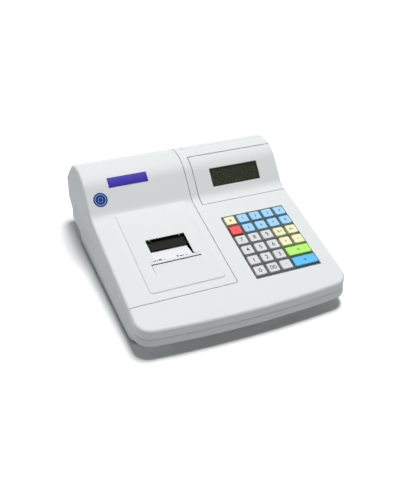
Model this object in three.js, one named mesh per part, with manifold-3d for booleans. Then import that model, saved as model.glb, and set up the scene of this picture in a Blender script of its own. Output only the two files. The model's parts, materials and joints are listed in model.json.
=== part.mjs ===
// Compact electronic ticket register with a lifting printer lid and a 28-key keypad.
// Millimetres, +X to the right, +Y to the back, +Z up. The origin is on the table, under the middle.
import * as THREE from "three";
import { mergeVertices } from "three/addons/utils/BufferGeometryUtils.js";
import Module from "manifold-3d";

const wasm = await Module();
wasm.setup();

const radians = THREE.MathUtils.degToRad;

// Overall sizes
const bodyWidth = 294;
const bodyDepth = 335;
const bodyHeight = 125.3;
const wall = 2.5;
const seamGap = 0.9;
const traySeamGap = 0.5;
const fit = 0.3;
const overrun = 30;

// Plan outline
const bowRadius = 1335;
const cornerRadius = 22;
const rearCornerRadius = 9;
const shoulderRadius = 3.4;
const traySideFlare = 1.8;

// Side profile
const deckSlope = radians(11);
const deckMidHeight = 74;
const crownRadius = 49;
const crownFromRear = 69.7;
const frontFaceSlope = radians(47);
const rearFaceSlope = radians(48);
const humpFootRadius = 24.5;

// Seam between tray and covers
const seamFrontHeight = 28.2;
const seamRearHeight = 49;
const seamSlopeLength = 262;
const seamKneeLengthShare = 0.45;
const seamKneeRiseShare = 0.6;

// Base tray
const footHeight = 3;
const lowerEdgeHeight = 19.2;
const lowerEdgeRearHeight = 24.8;
const lowerEdgeRise = 50;
const trayRearCorner = 34;
const tailHeightShares = [0, 0.47, 0.73, 1];
const tailRadiusShares = [1, 1, 0.5, 0];
const bellySideInset = 2.2;
const bellyFrontSetback = 27;
const bellyRearSetback = 48;
const bellyCornerRadius = 18;
const lipThickness = 1.2;
const lipHeight = 2.4;
const lipRoot = 2;
const postRadius = 4;

// Feet
const footRadius = 9;
const footFromSide = 21;
const footFromFront = 44;
const footFromRear = 82;

// Printer lid
const lidRightEdge = 1.6;
const frontStripDepth = 47.3;
const lidCornerRadius = 3;
const lidFrontSlant = radians(4.6);
const padWidth = 99.4;
const padRise = 1.5;
const padEdgeRun = 2;
const padFrontMargin = 14.4;
const padCornerRadius = 3;
const ledgeReach = 4.6;
const ledgeThickness = 2;
const bayWallBottom = 38;

// Lid hinge
const hingeFromRear = 4;
const barrelRadius = 3.7;
const pinRadius = 1.5;
const barrelEndMargin = 4;
const lugWidth = 6;
const lugFromEnd = 28;
const lugRadius = 3.4;

// Printer, centred on the line of the paper
const printerFromLidEdge = 62.8;
const paperWidth = 57;
const paperThickness = 0.4;
const paperShift = 2.2;
const windowWidth = 54.8;
const windowLength = 38.58;
const windowLip = 1.2;
const windowRelief = 4;
const tearEdgeShare = 0.38663;
const tearBarLength = 4.6;
const tearBarThickness = 1.5;
const toothDepth = 0.7;
const toothPitch = 2.25;
const rampWidth = 67.6;
const rampLength = 25.1;
const rampRise = 2.2;
const tearSlot = 3.55;
const tearSlotEnd = 1.4;
const tearSlotEndLength = 2.2;
const paperSlotMargin = 1;
const paperSlotLength = 13;

const platenRadius = 6.5;
const platenShaftRadius = 2;
const platenDepth = 16.87;
const platenBehindTearEdge = 37.17;
const frameSideGap = 3.2;
const framePlate = 3;
const frameBase = 2.5;
const frameBaseDepth = 32;
const frameFrontReach = 14;
const frameRearReach = 28;
const frameTopBelowDeck = 4;
const frameTopThickness = 1.5;
const frameTopFrontReach = 9.5;
const headFrontReach = 4;
const headRearReach = 4;
const headLift = 1.15;

// Gear train
const gearModule = 0.8;
const platenTeeth = 30;
const pinionTeeth = 12;
const gearWidth = 4;
const gearSideGap = 0.6;
const gearBacklashShare = 0.1;
const motorDirection = radians(-40);
const motorRadius = 12;
const motorLength = 12;
const motorPlate = 2;
const motorShaftRadius = 1.5;
const motorBoreDepth = 6;

// Paper roll
const rollRadius = 26;
const rollCoreRadius = 6.5;
const rollCoreDepth = 8;
const rollAbovePlaten = 0;
const rollFromCrown = 34.47;
const cradleThickness = 2.5;
const cradleFrontAngle = radians(259);
const cradleRearAngle = radians(330);
const cheekGap = 1.3;
const cheekHeight = 42;

// Keypad
const keyPitch = 19.05;
const keyColumns = 5;
const keyRows = 6;
const keypadMarginX = 0.35;
const keypadMarginY = 1.65;
const keypadShift = 0.3;
const keypadCentreShare = 0.52766;
const bezelRecess = 1;
const bezelPlate = 2;
const bezelFlange = 3;
const bezelSkirt = 4.3;
const bezelRim = 0.6;
const keyBaseShare = 0.84;
const keyTopShare = 0.76;
const keyProud = 2.5;
const keyApertureGap = 0.4;
const keyCorner = 1.2;
const keyFlange = 0.7;
const keyFlangeThickness = 1.3;
const keyTravel = 2.5;
const matThickness = 1.5;
const boardThickness = 1.6;

// Displays
const insertDepth = 8;
const insertFromLid = 10.8;
const frontInsertRun = 61;
const frontInsertToCrown = 14.1;
const rearInsertToCrown = 6.6;
const rearInsertRun = 56;
const displayWidth = 75.4;
const displayHeight = 27;
const displayShift = 1.6;
const displayDrop = 12.46;
const customerHeight = 17;
const customerDrop = 22;
const lensBorder = 1.5;
const lensThickness = 1.5;
const moduleBorder = 3;
const moduleThickness = 7;

// Main board and what stands on it
const mainBoardFromSide = 10.4;
const mainBoardFromBellyFront = 47;
const mainBoardFromBellyRear = 10;
const mainBoardHeight = 12;
const mainBoardFromSeam = 9.5;
const standoffInset = 8;
const memoryWidth = 42;
const memoryLength = 46;
const memoryHeight = 20;
const memoryInset = 5;
const memoryBehindPart = 10;
const partHeight = 16;
const partWidth = 26;

// Battery pack
const cellRadius = 12.5;
const cellLength = 50;
const cellOverlap = 0.2;
const batteryFromSeam = 9.9;
const batteryFromBellyFront = 24;
const railHeight = 15;

// Back openings
const rockerHeight = 13;
const rockerWidth = 19;
const rockerDepth = 9;
const rockerCrown = 1.6;
const rockerTilt = radians(8);
const rockerFromSide = 113;
const rockerRim = 2;
const dcSize = 12;
const dcDepth = 13;
const dcBoreRadius = 3.2;
const dcPinRadius = 1;
const dcFromSide = 44;
const interfaceWidth = 30;
const interfaceHeight = 12;
const interfaceDepth = 12;
const interfaceFromSide = 77.5;
const socketFlange = 2;
const socketRecess = 6;

// Counts of facets
const bowSteps = 6;
const cornerSteps = 6;
const shoulderSteps = 4;
const footArcSteps = 5;
const padEdgeSteps = 4;
const crownSteps = 14;
const roundSteps = 24;
const boreSteps = 16;

// Places worked out from the sizes
const frontY = -bodyDepth / 2;
const rearY = bodyDepth / 2;
const halfWidth = bodyWidth / 2;
const coverHalfWidth = halfWidth - traySideFlare;
const crownY = rearY - crownFromRear;
const crownZ = bodyHeight - crownRadius;
const lidFrontY = frontY + frontStripDepth;
const hingeY = rearY - traySideFlare - hingeFromRear;
const hingeZ = seamRearHeight + barrelRadius + 2 * fit;
const printerX = lidRightEdge - printerFromLidEdge;
const rightMiddle = (lidRightEdge + halfWidth) / 2;
const keypadCentreX = rightMiddle + keypadShift;
const displayCentreX = rightMiddle + displayShift;
const insertLeftEdge = lidRightEdge + insertFromLid;
const rockerX = halfWidth - rockerFromSide;
const dcX = halfWidth - dcFromSide;
const interfaceX = halfWidth - interfaceFromSide;
const keyBase = keyPitch * keyBaseShare;
const keyTop = keyPitch * keyTopShare;
const rearFittingHeight = (lowerEdgeRearHeight + wall + seamRearHeight - lipRoot) / 2;

// Materials
function plastic(color, roughness = 0.5) {
  return new THREE.MeshStandardMaterial({ color, roughness, metalness: 0 });
}

function metal(color, roughness = 0.35) {
  return new THREE.MeshStandardMaterial({ color, roughness, metalness: 1 });
}

const caseGrey = plastic(0xe3e6e8);
const darkGrey = plastic(0x4d5052);
const black = plastic(0x1d1f20);
const rubber = plastic(0x26282a, 0.85);
const steel = metal(0xb9bcbe);
const smoked = plastic(0x20261f, 0.12);
const displayGreen = plastic(0x39452f, 0.3);
const boardGreen = plastic(0x1f5a34, 0.45);
const paperWhite = plastic(0xf6f6f4, 0.9);
const gearWhite = plastic(0xd8d5c8);
const cellBlue = plastic(0x2c4f8f);
const keyWhite = plastic(0xe8e8ea);
const keyYellow = plastic(0xf9f7a6);
const keyLightBlue = plastic(0xaadcfb);
const keyRed = plastic(0xf4515a);
const keyGreen = plastic(0xb2f45c);
const keyBlue = plastic(0x57bdf7);

// Solids from three.js geometry
function solidOf(geometry) {
  const bare = geometry.index ? geometry.toNonIndexed() : geometry.clone();
  bare.deleteAttribute("normal");
  bare.deleteAttribute("uv");
  const merged = mergeVertices(bare, 1e-4);
  return new wasm.Manifold(
    new wasm.Mesh({
      numProp: 3,
      vertProperties: merged.attributes.position.array,
      triVerts: new Uint32Array(merged.index.array),
    }),
  );
}

function geometryOf(solid) {
  const mesh = solid.getMesh();
  const geometry = new THREE.BufferGeometry();
  const places = new Float32Array(mesh.numVert * 3);
  for (let i = 0; i < mesh.numVert; i += 1) {
    places.set(mesh.vertProperties.slice(i * mesh.numProp, i * mesh.numProp + 3), i * 3);
  }
  geometry.setAttribute("position", new THREE.BufferAttribute(places, 3));
  geometry.setIndex(new THREE.BufferAttribute(mesh.triVerts, 1));
  const flat = geometry.toNonIndexed();
  flat.computeVertexNormals();
  return flat;
}

function joined(...solids) {
  return solids.reduce((sum, solid) => sum.add(solid));
}

function cut(solid, ...tools) {
  return tools.reduce((left, tool) => left.subtract(tool), solid);
}

function block(x0, x1, y0, y1, z0, z1) {
  const box = new THREE.BoxGeometry(x1 - x0, y1 - y0, z1 - z0);
  box.translate((x0 + x1) / 2, (y0 + y1) / 2, (z0 + z1) / 2);
  return solidOf(box);
}

function shapeOf(points) {
  return new THREE.Shape(points.map(([u, v]) => new THREE.Vector2(u, v)));
}

// A side outline of [y, z] points, run from x0 to x1
function sidePrism(points, x0, x1) {
  const prism = new THREE.ExtrudeGeometry(shapeOf(points), {
    depth: x1 - x0,
    bevelEnabled: false,
  });
  const basis = new THREE.Matrix4().makeBasis(
    new THREE.Vector3(0, 1, 0),
    new THREE.Vector3(0, 0, 1),
    new THREE.Vector3(1, 0, 0),
  );
  prism.applyMatrix4(basis);
  prism.translate(x0, 0, 0);
  return solidOf(prism);
}

// A plan outline of [x, y] points, run from z0 to z1
function planPrism(points, z0, z1) {
  const prism = new THREE.ExtrudeGeometry(shapeOf(points), {
    depth: z1 - z0,
    bevelEnabled: false,
  });
  prism.translate(0, 0, z0);
  return solidOf(prism);
}

function rodX(radius, x0, x1, y, z, steps = roundSteps) {
  const rod = new THREE.CylinderGeometry(radius, radius, x1 - x0, steps);
  rod.rotateZ(Math.PI / 2);
  rod.translate((x0 + x1) / 2, y, z);
  return solidOf(rod);
}

function rodY(radius, x, y0, y1, z, steps = roundSteps) {
  const rod = new THREE.CylinderGeometry(radius, radius, y1 - y0, steps);
  rod.translate(x, (y0 + y1) / 2, z);
  return solidOf(rod);
}

function rodZ(radius, x, y, z0, z1, steps = roundSteps) {
  const rod = new THREE.CylinderGeometry(radius, radius, z1 - z0, steps);
  rod.rotateX(Math.PI / 2);
  rod.translate(x, y, (z0 + z1) / 2);
  return solidOf(rod);
}

function roundedRectangle(x0, x1, y0, y1, radius, steps = 4) {
  const centres = [
    [x1 - radius, y0 + radius],
    [x1 - radius, y1 - radius],
    [x0 + radius, y1 - radius],
    [x0 + radius, y0 + radius],
  ];
  const quarter = Math.PI / 2;
  const points = [];
  centres.forEach(([x, y], corner) => {
    for (let k = 0; k <= steps; k += 1) {
      const angle = quarter * (corner - 1 + k / steps);
      points.push([x + radius * Math.cos(angle), y + radius * Math.sin(angle)]);
    }
  });
  return points;
}

// Centre of the fillet between the deck and the front of the hump
function footCentre() {
  const deckNormal = [-Math.sin(deckSlope), Math.cos(deckSlope)];
  const faceNormal = [-Math.sin(frontFaceSlope), Math.cos(frontFaceSlope)];
  const along = (point, normal) => point[0] * normal[0] + point[1] * normal[1];
  const deckReach = along([0, deckMidHeight], deckNormal);
  const faceReach = along([crownY, crownZ], faceNormal) + crownRadius;
  const turn = deckNormal[0] * faceNormal[1] - deckNormal[1] * faceNormal[0];
  const footA = deckReach + humpFootRadius;
  const footB = faceReach + humpFootRadius;
  return [
    (footA * faceNormal[1] - footB * deckNormal[1]) / turn,
    (footB * deckNormal[0] - footA * faceNormal[0]) / turn,
  ];
}

// Where the deck meets that fillet
function footPoint() {
  const [y, z] = footCentre();
  return [y + humpFootRadius * Math.sin(deckSlope), z - humpFootRadius * Math.cos(deckSlope)];
}

// Side profile of the upper shell, set inwards by a depth
function profile(depth) {
  const [footY, footZ] = footCentre();
  const line = [];
  const deckHeight = (y) => deckMidHeight + y * Math.tan(deckSlope) - depth / Math.cos(deckSlope);
  const startY = frontY - overrun;
  line.push([startY, deckHeight(startY)]);
  const footRadiusHere = humpFootRadius + depth;
  for (let k = 0; k <= footArcSteps; k += 1) {
    const slope = deckSlope + ((frontFaceSlope - deckSlope) * k) / footArcSteps;
    line.push([footY + footRadiusHere * Math.sin(slope), footZ - footRadiusHere * Math.cos(slope)]);
  }
  const crownRadiusHere = crownRadius - depth;
  for (let k = 0; k <= crownSteps; k += 1) {
    const slope = frontFaceSlope - ((frontFaceSlope + rearFaceSlope) * k) / crownSteps;
    line.push([crownY - crownRadiusHere * Math.sin(slope), crownZ + crownRadiusHere * Math.cos(slope)]);
  }
  const [lastY, lastZ] = line[line.length - 1];
  const endY = rearY + overrun;
  line.push([endY, lastZ - (endY - lastY) * Math.tan(rearFaceSlope)]);
  return line;
}

function heightOn(line, y) {
  const next = line.findIndex(([stationY]) => stationY >= y);
  const [y0, z0] = line[next - 1];
  const [y1, z1] = line[next];
  return z0 + ((z1 - z0) * (y - y0)) / (y1 - y0);
}

const seamLine = [
  [frontY - overrun, seamFrontHeight],
  [frontY, seamFrontHeight],
  [
    frontY + seamSlopeLength * seamKneeLengthShare,
    seamFrontHeight + (seamRearHeight - seamFrontHeight) * seamKneeRiseShare,
  ],
  [frontY + seamSlopeLength, seamRearHeight],
  [rearY + overrun, seamRearHeight],
];

// Lower edge of the band that overhangs the belly
const lowerEdgeLine = [
  [frontY - overrun, lowerEdgeHeight],
  [frontY, lowerEdgeHeight],
  [frontY + lowerEdgeRise, lowerEdgeRearHeight],
  [rearY + overrun, lowerEdgeRearHeight],
];

// Right half of a plan outline from the middle of the front to the middle of the back
function halfOutline(plan, inset, stations) {
  const points = [];
  const cornerX = plan.halfWidth - plan.corner;
  const bowCentreY = plan.front + bowRadius;
  const reach = bowRadius - plan.corner;
  const cornerY = bowCentreY - Math.sqrt(reach ** 2 - cornerX ** 2);
  const meetAngle = Math.asin(cornerX / reach);
  for (let k = 0; k <= bowSteps; k += 1) {
    const angle = (meetAngle * k) / bowSteps;
    const radius = bowRadius - inset;
    points.push([radius * Math.sin(angle), bowCentreY - radius * Math.cos(angle)]);
  }
  for (let k = 1; k <= cornerSteps; k += 1) {
    const angle = meetAngle + ((Math.PI / 2 - meetAngle) * k) / cornerSteps;
    const radius = plan.corner - inset;
    points.push([cornerX + radius * Math.sin(angle), cornerY - radius * Math.cos(angle)]);
  }
  const rearCentreY = plan.rear - plan.rearCorner;
  for (const y of stations) {
    if (y > cornerY + fit && y < rearCentreY - fit) {
      points.push([plan.halfWidth - inset, y]);
    }
  }
  for (let k = 0; k <= shoulderSteps; k += 1) {
    const angle = ((Math.PI / 2) * k) / shoulderSteps;
    const radius = plan.rearCorner - inset;
    points.push([
      plan.halfWidth - plan.rearCorner + radius * Math.cos(angle),
      rearCentreY + radius * Math.sin(angle),
    ]);
  }
  points.push([0, plan.rear - inset]);
  return points;
}

// A closed solid over mirrored outlines: rings of right-hand points, the lowest first
function loft(rings) {
  const places = [];
  const mirrored = ([x, y, z]) => [-x, y, z];
  const same = (a, b) => a.every((value, i) => Math.abs(value - b[i]) < 1e-6);
  function triangle(a, b, c) {
    if (!same(a, b) && !same(b, c) && !same(c, a)) places.push(...a, ...b, ...c);
  }
  function quad(a, b, c, d) {
    triangle(a, b, c);
    triangle(a, c, d);
  }
  for (let level = 0; level + 1 < rings.length; level += 1) {
    const lower = rings[level];
    const upper = rings[level + 1];
    for (let i = 0; i + 1 < lower.length; i += 1) {
      quad(lower[i], lower[i + 1], upper[i + 1], upper[i]);
      quad(...[lower[i + 1], lower[i], upper[i], upper[i + 1]].map(mirrored));
    }
  }
  const base = rings[0];
  const top = rings[rings.length - 1];
  for (let i = 0; i + 1 < base.length; i += 1) {
    quad(base[i], mirrored(base[i]), mirrored(base[i + 1]), base[i + 1]);
    quad(mirrored(top[i]), top[i], top[i + 1], mirrored(top[i + 1]));
  }
  const geometry = new THREE.BufferGeometry();
  geometry.setAttribute("position", new THREE.Float32BufferAttribute(places, 3));
  return solidOf(geometry);
}

// A convex solid through rings of as many points each, the lowest first
function ringSolid(levels) {
  const places = [];
  const base = levels[0];
  const top = levels[levels.length - 1];
  for (let level = 0; level + 1 < levels.length; level += 1) {
    for (let i = 0; i < base.length; i += 1) {
      const j = (i + 1) % base.length;
      const [a, b] = [levels[level][i], levels[level][j]];
      const [c, d] = [levels[level + 1][j], levels[level + 1][i]];
      places.push(...a, ...b, ...c, ...a, ...c, ...d);
    }
  }
  for (let i = 1; i + 1 < base.length; i += 1) {
    places.push(...base[0], ...base[i + 1], ...base[i]);
    places.push(...top[0], ...top[i], ...top[i + 1]);
  }
  const geometry = new THREE.BufferGeometry();
  geometry.setAttribute("position", new THREE.Float32BufferAttribute(places, 3));
  return solidOf(geometry);
}

const coverPlan = {
  halfWidth: coverHalfWidth,
  front: frontY + traySideFlare,
  rear: rearY - traySideFlare,
  corner: cornerRadius - traySideFlare,
  rearCorner: rearCornerRadius - traySideFlare,
};
const trayPlan = {
  halfWidth,
  front: frontY,
  rear: rearY,
  corner: cornerRadius,
  rearCorner: rearCornerRadius,
};
const bellyPlan = {
  halfWidth: halfWidth - bellySideInset,
  front: frontY + bellyFrontSetback,
  rear: rearY - bellyRearSetback,
  corner: bellyCornerRadius,
  rearCorner: bellyCornerRadius,
};

// The upper shell's whole form, set inwards by a depth, standing on the table plane
function upperForm(depth) {
  const line = profile(depth);
  const stations = line.map(([y]) => y);
  const radius = shoulderRadius - depth;
  const ring = (inset, drop) =>
    halfOutline(coverPlan, inset, stations).map(([x, y]) => [x, y, heightOn(line, y) - drop]);
  const rings = [halfOutline(coverPlan, depth, stations).map(([x, y]) => [x, y, 0])];
  for (let k = 0; k <= shoulderSteps; k += 1) {
    const angle = ((Math.PI / 2) * k) / shoulderSteps;
    rings.push(ring(depth + radius * (1 - Math.cos(angle)), radius * (1 - Math.sin(angle))));
  }
  return loft(rings);
}

// Everything under a line of [y, z] points, raised by a height
function underLine(line, raise) {
  const top = line.map(([y, z]) => [y, z + raise]);
  const base = -overrun;
  return sidePrism(
    [[line[0][0], base], [line[line.length - 1][0], base], ...top.reverse()],
    -halfWidth - overrun,
    halfWidth + overrun,
  );
}

function underSeam(raise) {
  return underLine(seamLine, raise);
}

// A slab that follows the side profile between two depths, y0 to y1
function profileSlab(y0, y1, outerDepth, innerDepth, x0, x1) {
  const edge = (depth) => {
    const line = profile(depth);
    const inside = line.filter(([y]) => y > y0 && y < y1);
    return [[y0, heightOn(line, y0)], ...inside, [y1, heightOn(line, y1)]];
  };
  return sidePrism([...edge(innerDepth), ...edge(outerDepth).reverse()], x0, x1);
}

// A point on the deck frame: v runs up the slope from over the origin, w stands square to it
function deckPoint(v, w) {
  return [
    v * Math.cos(deckSlope) - w * Math.sin(deckSlope),
    deckMidHeight + v * Math.sin(deckSlope) + w * Math.cos(deckSlope),
  ];
}

// A block whose sides follow the deck frame
function deckBlock(x0, x1, v0, v1, w0, w1) {
  return sidePrism(
    [deckPoint(v0, w0), deckPoint(v1, w0), deckPoint(v1, w1), deckPoint(v0, w1)],
    x0,
    x1,
  );
}

// A plan outline of [x, v] points, run square to the deck from w0 to w1
function deckPrism(points, w0, w1) {
  const prism = new THREE.ExtrudeGeometry(shapeOf(points), {
    depth: w1 - w0,
    bevelEnabled: false,
  });
  prism.translate(0, 0, w0);
  prism.rotateX(deckSlope);
  prism.translate(0, 0, deckMidHeight);
  return solidOf(prism);
}

const register = new THREE.Group();

function place(name, solid, material, parent = register) {
  const mesh = new THREE.Mesh(geometryOf(solid), material);
  mesh.name = name;
  parent.add(mesh);
  return mesh;
}

const upperShell = cut(upperForm(0), upperForm(wall), underSeam(traySeamGap));
const farSide = halfWidth + overrun;

// Deck places along v
const lidFrontV = lidFrontY / Math.cos(deckSlope);
const humpFootV = footPoint()[0] / Math.cos(deckSlope);
const frontV = frontY / Math.cos(deckSlope);
const keypadCentreV = frontV + (humpFootV - frontV) * keypadCentreShare;
const tearEdgeV = lidFrontV + (humpFootV - lidFrontV) * tearEdgeShare;
const windowFrontV = tearEdgeV + tearBarLength;
const windowRearV = windowFrontV + windowLength;
const padFrontV = lidFrontV + padFrontMargin;

// Region that the lid fills, less a gap all round
function lidRegion(gap) {
  const top = bodyHeight + overrun;
  const [, seamTop] = deckPoint(lidFrontV, 0);
  const front = lidFrontY + gap;
  const slantedSide = sidePrism(
    [
      [front - (top - seamTop) * Math.tan(lidFrontSlant), top],
      [front + seamTop * Math.tan(lidFrontSlant), 0],
      [rearY + overrun, 0],
      [rearY + overrun, top],
    ],
    -farSide,
    lidRightEdge - gap,
  );
  const x1 = lidRightEdge - gap;
  const y0 = front - lidCornerRadius;
  const plan = planPrism(
    [
      [-farSide, y0],
      ...roundedCorner(x1, front, lidCornerRadius - gap),
      [x1, rearY + overrun],
      [-farSide, rearY + overrun],
    ],
    0,
    top,
  );
  return slantedSide.intersect(plan);
}

// Points round the front right-hand corner of the lid
function roundedCorner(x, y, radius) {
  const points = [];
  for (let k = 0; k <= 4; k += 1) {
    const angle = -Math.PI / 2 + (Math.PI / 2) * (k / 4);
    points.push([x - radius + radius * Math.cos(angle), y + radius + radius * Math.sin(angle)]);
  }
  return [[x - radius - fit, y - lidCornerRadius], [x - radius - fit, y], ...points];
}

// Display inserts: regions of the hump that reach round the right-hand end
const frontInsertEnd = crownY - frontInsertToCrown;
const frontInsertStart = frontInsertEnd - frontInsertRun;
const rearInsertStart = crownY + rearInsertToCrown;
const rearInsertEnd = rearInsertStart + rearInsertRun;

function insertRegion(y0, y1, gap) {
  return profileSlab(
    y0 + gap,
    y1 - gap,
    -overrun / 2,
    insertDepth - gap,
    insertLeftEdge + gap,
    farSide,
  );
}

// Local frames on the two sloping faces of the hump
function faceFrame(slope, drop) {
  const lean = Math.sign(slope);
  const frame = new THREE.Group();
  frame.rotation.x = slope;
  frame.position.set(
    displayCentreX,
    crownY - crownRadius * Math.sin(slope) - lean * drop * Math.cos(slope),
    crownZ + crownRadius * Math.cos(slope) - lean * drop * Math.sin(slope),
  );
  frame.updateMatrix();
  return frame;
}

const frontFace = faceFrame(frontFaceSlope, displayDrop);
const rearFace = faceFrame(-rearFaceSlope, customerDrop);
register.add(frontFace, rearFace);

function windowCutter(frame, height) {
  const box = new THREE.BoxGeometry(displayWidth, height, 2 * wall + insertDepth);
  box.applyMatrix4(frame.matrix);
  return solidOf(box);
}

function addDisplay(frame, height, lensName, moduleName) {
  const lensTop = -wall - fit;
  const lensBack = lensTop - lensThickness;
  const lensX = displayWidth / 2 + lensBorder;
  const lensY = height / 2 + lensBorder;
  place(lensName, block(-lensX, lensX, -lensY, lensY, lensBack, lensTop), smoked, frame);
  const moduleTop = lensBack - fit;
  const moduleX = displayWidth / 2 + moduleBorder;
  const moduleY = height / 2 + moduleBorder;
  const glass = block(
    -displayWidth / 2,
    displayWidth / 2,
    -height / 2,
    height / 2,
    moduleTop - moduleThickness / 2,
    moduleTop,
  );
  const board = block(
    -moduleX,
    moduleX,
    -moduleY,
    moduleY,
    moduleTop - moduleThickness,
    moduleTop - moduleThickness / 2 + fit,
  );
  place(moduleName, joined(glass, board), displayGreen, frame);
}

// Keypad frame of the deck
const keypadFrame = new THREE.Group();
const [keypadY, keypadZ] = deckPoint(keypadCentreV, 0);
keypadFrame.rotation.x = deckSlope;
keypadFrame.position.set(keypadCentreX, keypadY, keypadZ);
register.add(keypadFrame);
const wellHalfX = (keyColumns * keyPitch) / 2 + keypadMarginX;
const wellHalfV = (keyRows * keyPitch) / 2 + keypadMarginY;

// Base tray
function trayShell() {
  const stations = [...lowerEdgeLine, ...seamLine].map(([y]) => y).sort((a, b) => a - b);
  const ring = (share, radiusShare, depth, heightAt) => {
    const rearCorner = rearCornerRadius + (trayRearCorner - rearCornerRadius) * radiusShare;
    const plan = { ...trayPlan, rearCorner };
    const outline = halfOutline(plan, depth + traySideFlare * share, stations);
    return outline.map(([x, y]) => [x, y, heightAt(y)]);
  };
  const bandHeightAt = (share) => (y) => {
    const low = heightOn(lowerEdgeLine, y);
    return low + (heightOn(seamLine, y) - low) * share;
  };
  const band = (depth) =>
    loft([
      ring(0, 1, depth, () => lowerEdgeHeight - wall),
      ...tailHeightShares.map((share, i) =>
        ring(share, tailRadiusShares[i], depth, bandHeightAt(share)),
      ),
      ring(1, 0, depth, () => seamRearHeight + overrun),
    ]);
  const belly = (depth, floor) =>
    loft(
      [footHeight + floor, lowerEdgeRearHeight + wall].map((z) =>
        halfOutline(bellyPlan, depth, []).map(([x, y]) => [x, y, z]),
      ),
    );
  const outerBand = cut(band(0).intersect(underSeam(0)), underLine(lowerEdgeLine, 0));
  const innerBand = cut(band(wall), underLine(lowerEdgeLine, wall));
  return cut(joined(outerBand, belly(0, 0)), innerBand, belly(wall, wall));
}

function trayLip() {
  const stations = seamLine.map(([y]) => y);
  const inset = traySideFlare + wall + fit;
  const ring = (depth) =>
    loft(
      [lowerEdgeHeight + wall, seamRearHeight + overrun].map((z) =>
        halfOutline(trayPlan, depth, stations).map(([x, y]) => [x, y, z]),
      ),
    );
  const whole = cut(ring(inset), ring(inset + lipThickness), underSeam(-lipRoot));
  const lip = whole.intersect(underSeam(lipHeight));
  const rootRing = cut(ring(wall), ring(inset + fit), underSeam(-lipRoot));
  const root = rootRing.intersect(underSeam(-lipRoot / 2));
  const hingeRoom = block(
    -farSide,
    lidRightEdge + wall,
    hingeY - 2 * barrelRadius,
    rearY + overrun,
    0,
    bodyHeight,
  );
  return cut(joined(lip, root), hingeRoom);
}

const lugPlaces = [
  -coverHalfWidth + wall + lugFromEnd,
  lidRightEdge - wall - lugFromEnd,
];

function hingeLug(x) {
  const x0 = x - lugWidth / 2;
  const x1 = x + lugWidth / 2;
  const foot = block(
    x0,
    x1,
    hingeY - lugRadius,
    rearY - traySideFlare - wall / 2,
    seamRearHeight - 2 * lugRadius,
    hingeZ,
  );
  return joined(foot, rodX(lugRadius, x0, x1, hingeY, hingeZ));
}

// Paper path: the roll, the platen and the tear edge
const [tearY, tearZ] = deckPoint(tearEdgeV, padRise);
const platenY = tearY + platenBehindTearEdge;
const platenHeight = deckMidHeight + platenY * Math.tan(deckSlope) - platenDepth;
const rollY = crownY - rollFromCrown;
const rollHeight = platenHeight + rollAbovePlaten;
const rollBehindPlaten = rollY - platenY;
const rollX0 = printerX - paperShift - paperWidth / 2;
const rollX1 = rollX0 + paperWidth;
const floorTop = footHeight + wall;

function rollCradle() {
  const inner = rollRadius + fit;
  const outer = inner + cradleThickness;
  const arc = (radius, from, to) => {
    const points = [];
    for (let k = 0; k <= 6; k += 1) {
      const angle = from + ((to - from) * k) / 6;
      points.push([rollY + radius * Math.cos(angle), rollHeight + radius * Math.sin(angle)]);
    }
    return points;
  };
  const inside = arc(inner, cradleFrontAngle, cradleRearAngle);
  const outside = arc(outer, cradleRearAngle, cradleFrontAngle);
  const trough = sidePrism([...outside, ...inside].reverse(), rollX0, rollX1);
  const legs = [rollX0 + cradleThickness, rollX1 - 2 * cradleThickness].map((x) =>
    cut(
      block(
        x,
        x + cradleThickness,
        rollY - cradleThickness,
        rollY + rollRadius * Math.cos(cradleRearAngle),
        floorTop - wall / 2,
        rollHeight + inner * Math.sin(cradleRearAngle),
      ),
      rodX(inner + cradleThickness / 2, x - overrun, x + overrun, rollY, rollHeight),
    ),
  );
  const cheekEdge = cheekGap + cradleThickness;
  const cheeks = [rollX0 - cheekEdge, rollX1 + cheekGap].map((x) =>
    block(
      x,
      x + cradleThickness,
      rollY - rollRadius / 2,
      rollY + rollRadius,
      floorTop - wall / 2,
      floorTop + cheekHeight,
    ),
  );
  const tie = block(
    rollX0 - cheekEdge,
    rollX1 + cheekEdge,
    rollY + rollCoreRadius,
    rollY + rollCoreRadius + cradleThickness,
    floorTop - wall / 2,
    rollHeight - inner - fit,
  );
  return joined(trough, ...legs, ...cheeks, tie);
}

const frameX0 = rollX0 - frameSideGap - framePlate;
const frameX1 = rollX1 + frameSideGap + framePlate;
const frameY0 = platenY - frameFrontReach;
const frameY1 = platenY + frameRearReach;
const frameBaseHeight = platenHeight - frameBaseDepth;

function printerRails() {
  return [frameX0, frameX1 - 2 * framePlate].map((x) =>
    block(x, x + 2 * framePlate, frameY0, frameY1, floorTop - wall / 2, frameBaseHeight),
  );
}

const batteryY0 = bellyPlan.front + batteryFromBellyFront;
const batteryY1 = batteryY0 + cellLength;
const cellPitch = 2 * cellRadius - cellOverlap;
const batteryX1 = lidRightEdge - batteryFromSeam;
const batteryRoom = batteryX1 + bellyPlan.halfWidth - wall - 2 * fit;
const cellCount = Math.floor(batteryRoom / cellPitch);
const batteryX0 = batteryX1 - cellCount * cellPitch - cellOverlap;

function batteryRails() {
  return [batteryY0 - fit - wall, batteryY1 + fit].map((y) =>
    block(batteryX0, batteryX1, y, y + wall, floorTop - wall / 2, railHeight),
  );
}

const boardX0 = lidRightEdge + mainBoardFromSeam;
const boardX1 = halfWidth - mainBoardFromSide;
const boardY0 = bellyPlan.front + mainBoardFromBellyFront;
const boardY1 = bellyPlan.rear - mainBoardFromBellyRear;

function standoffs() {
  const places = [];
  for (const x of [boardX0 + standoffInset, boardX1 - standoffInset]) {
    for (const y of [boardY0 + standoffInset, boardY1 - standoffInset]) {
      places.push(rodZ(postRadius, x, y, floorTop - wall / 2, mainBoardHeight, boreSteps));
    }
  }
  return places;
}

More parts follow.
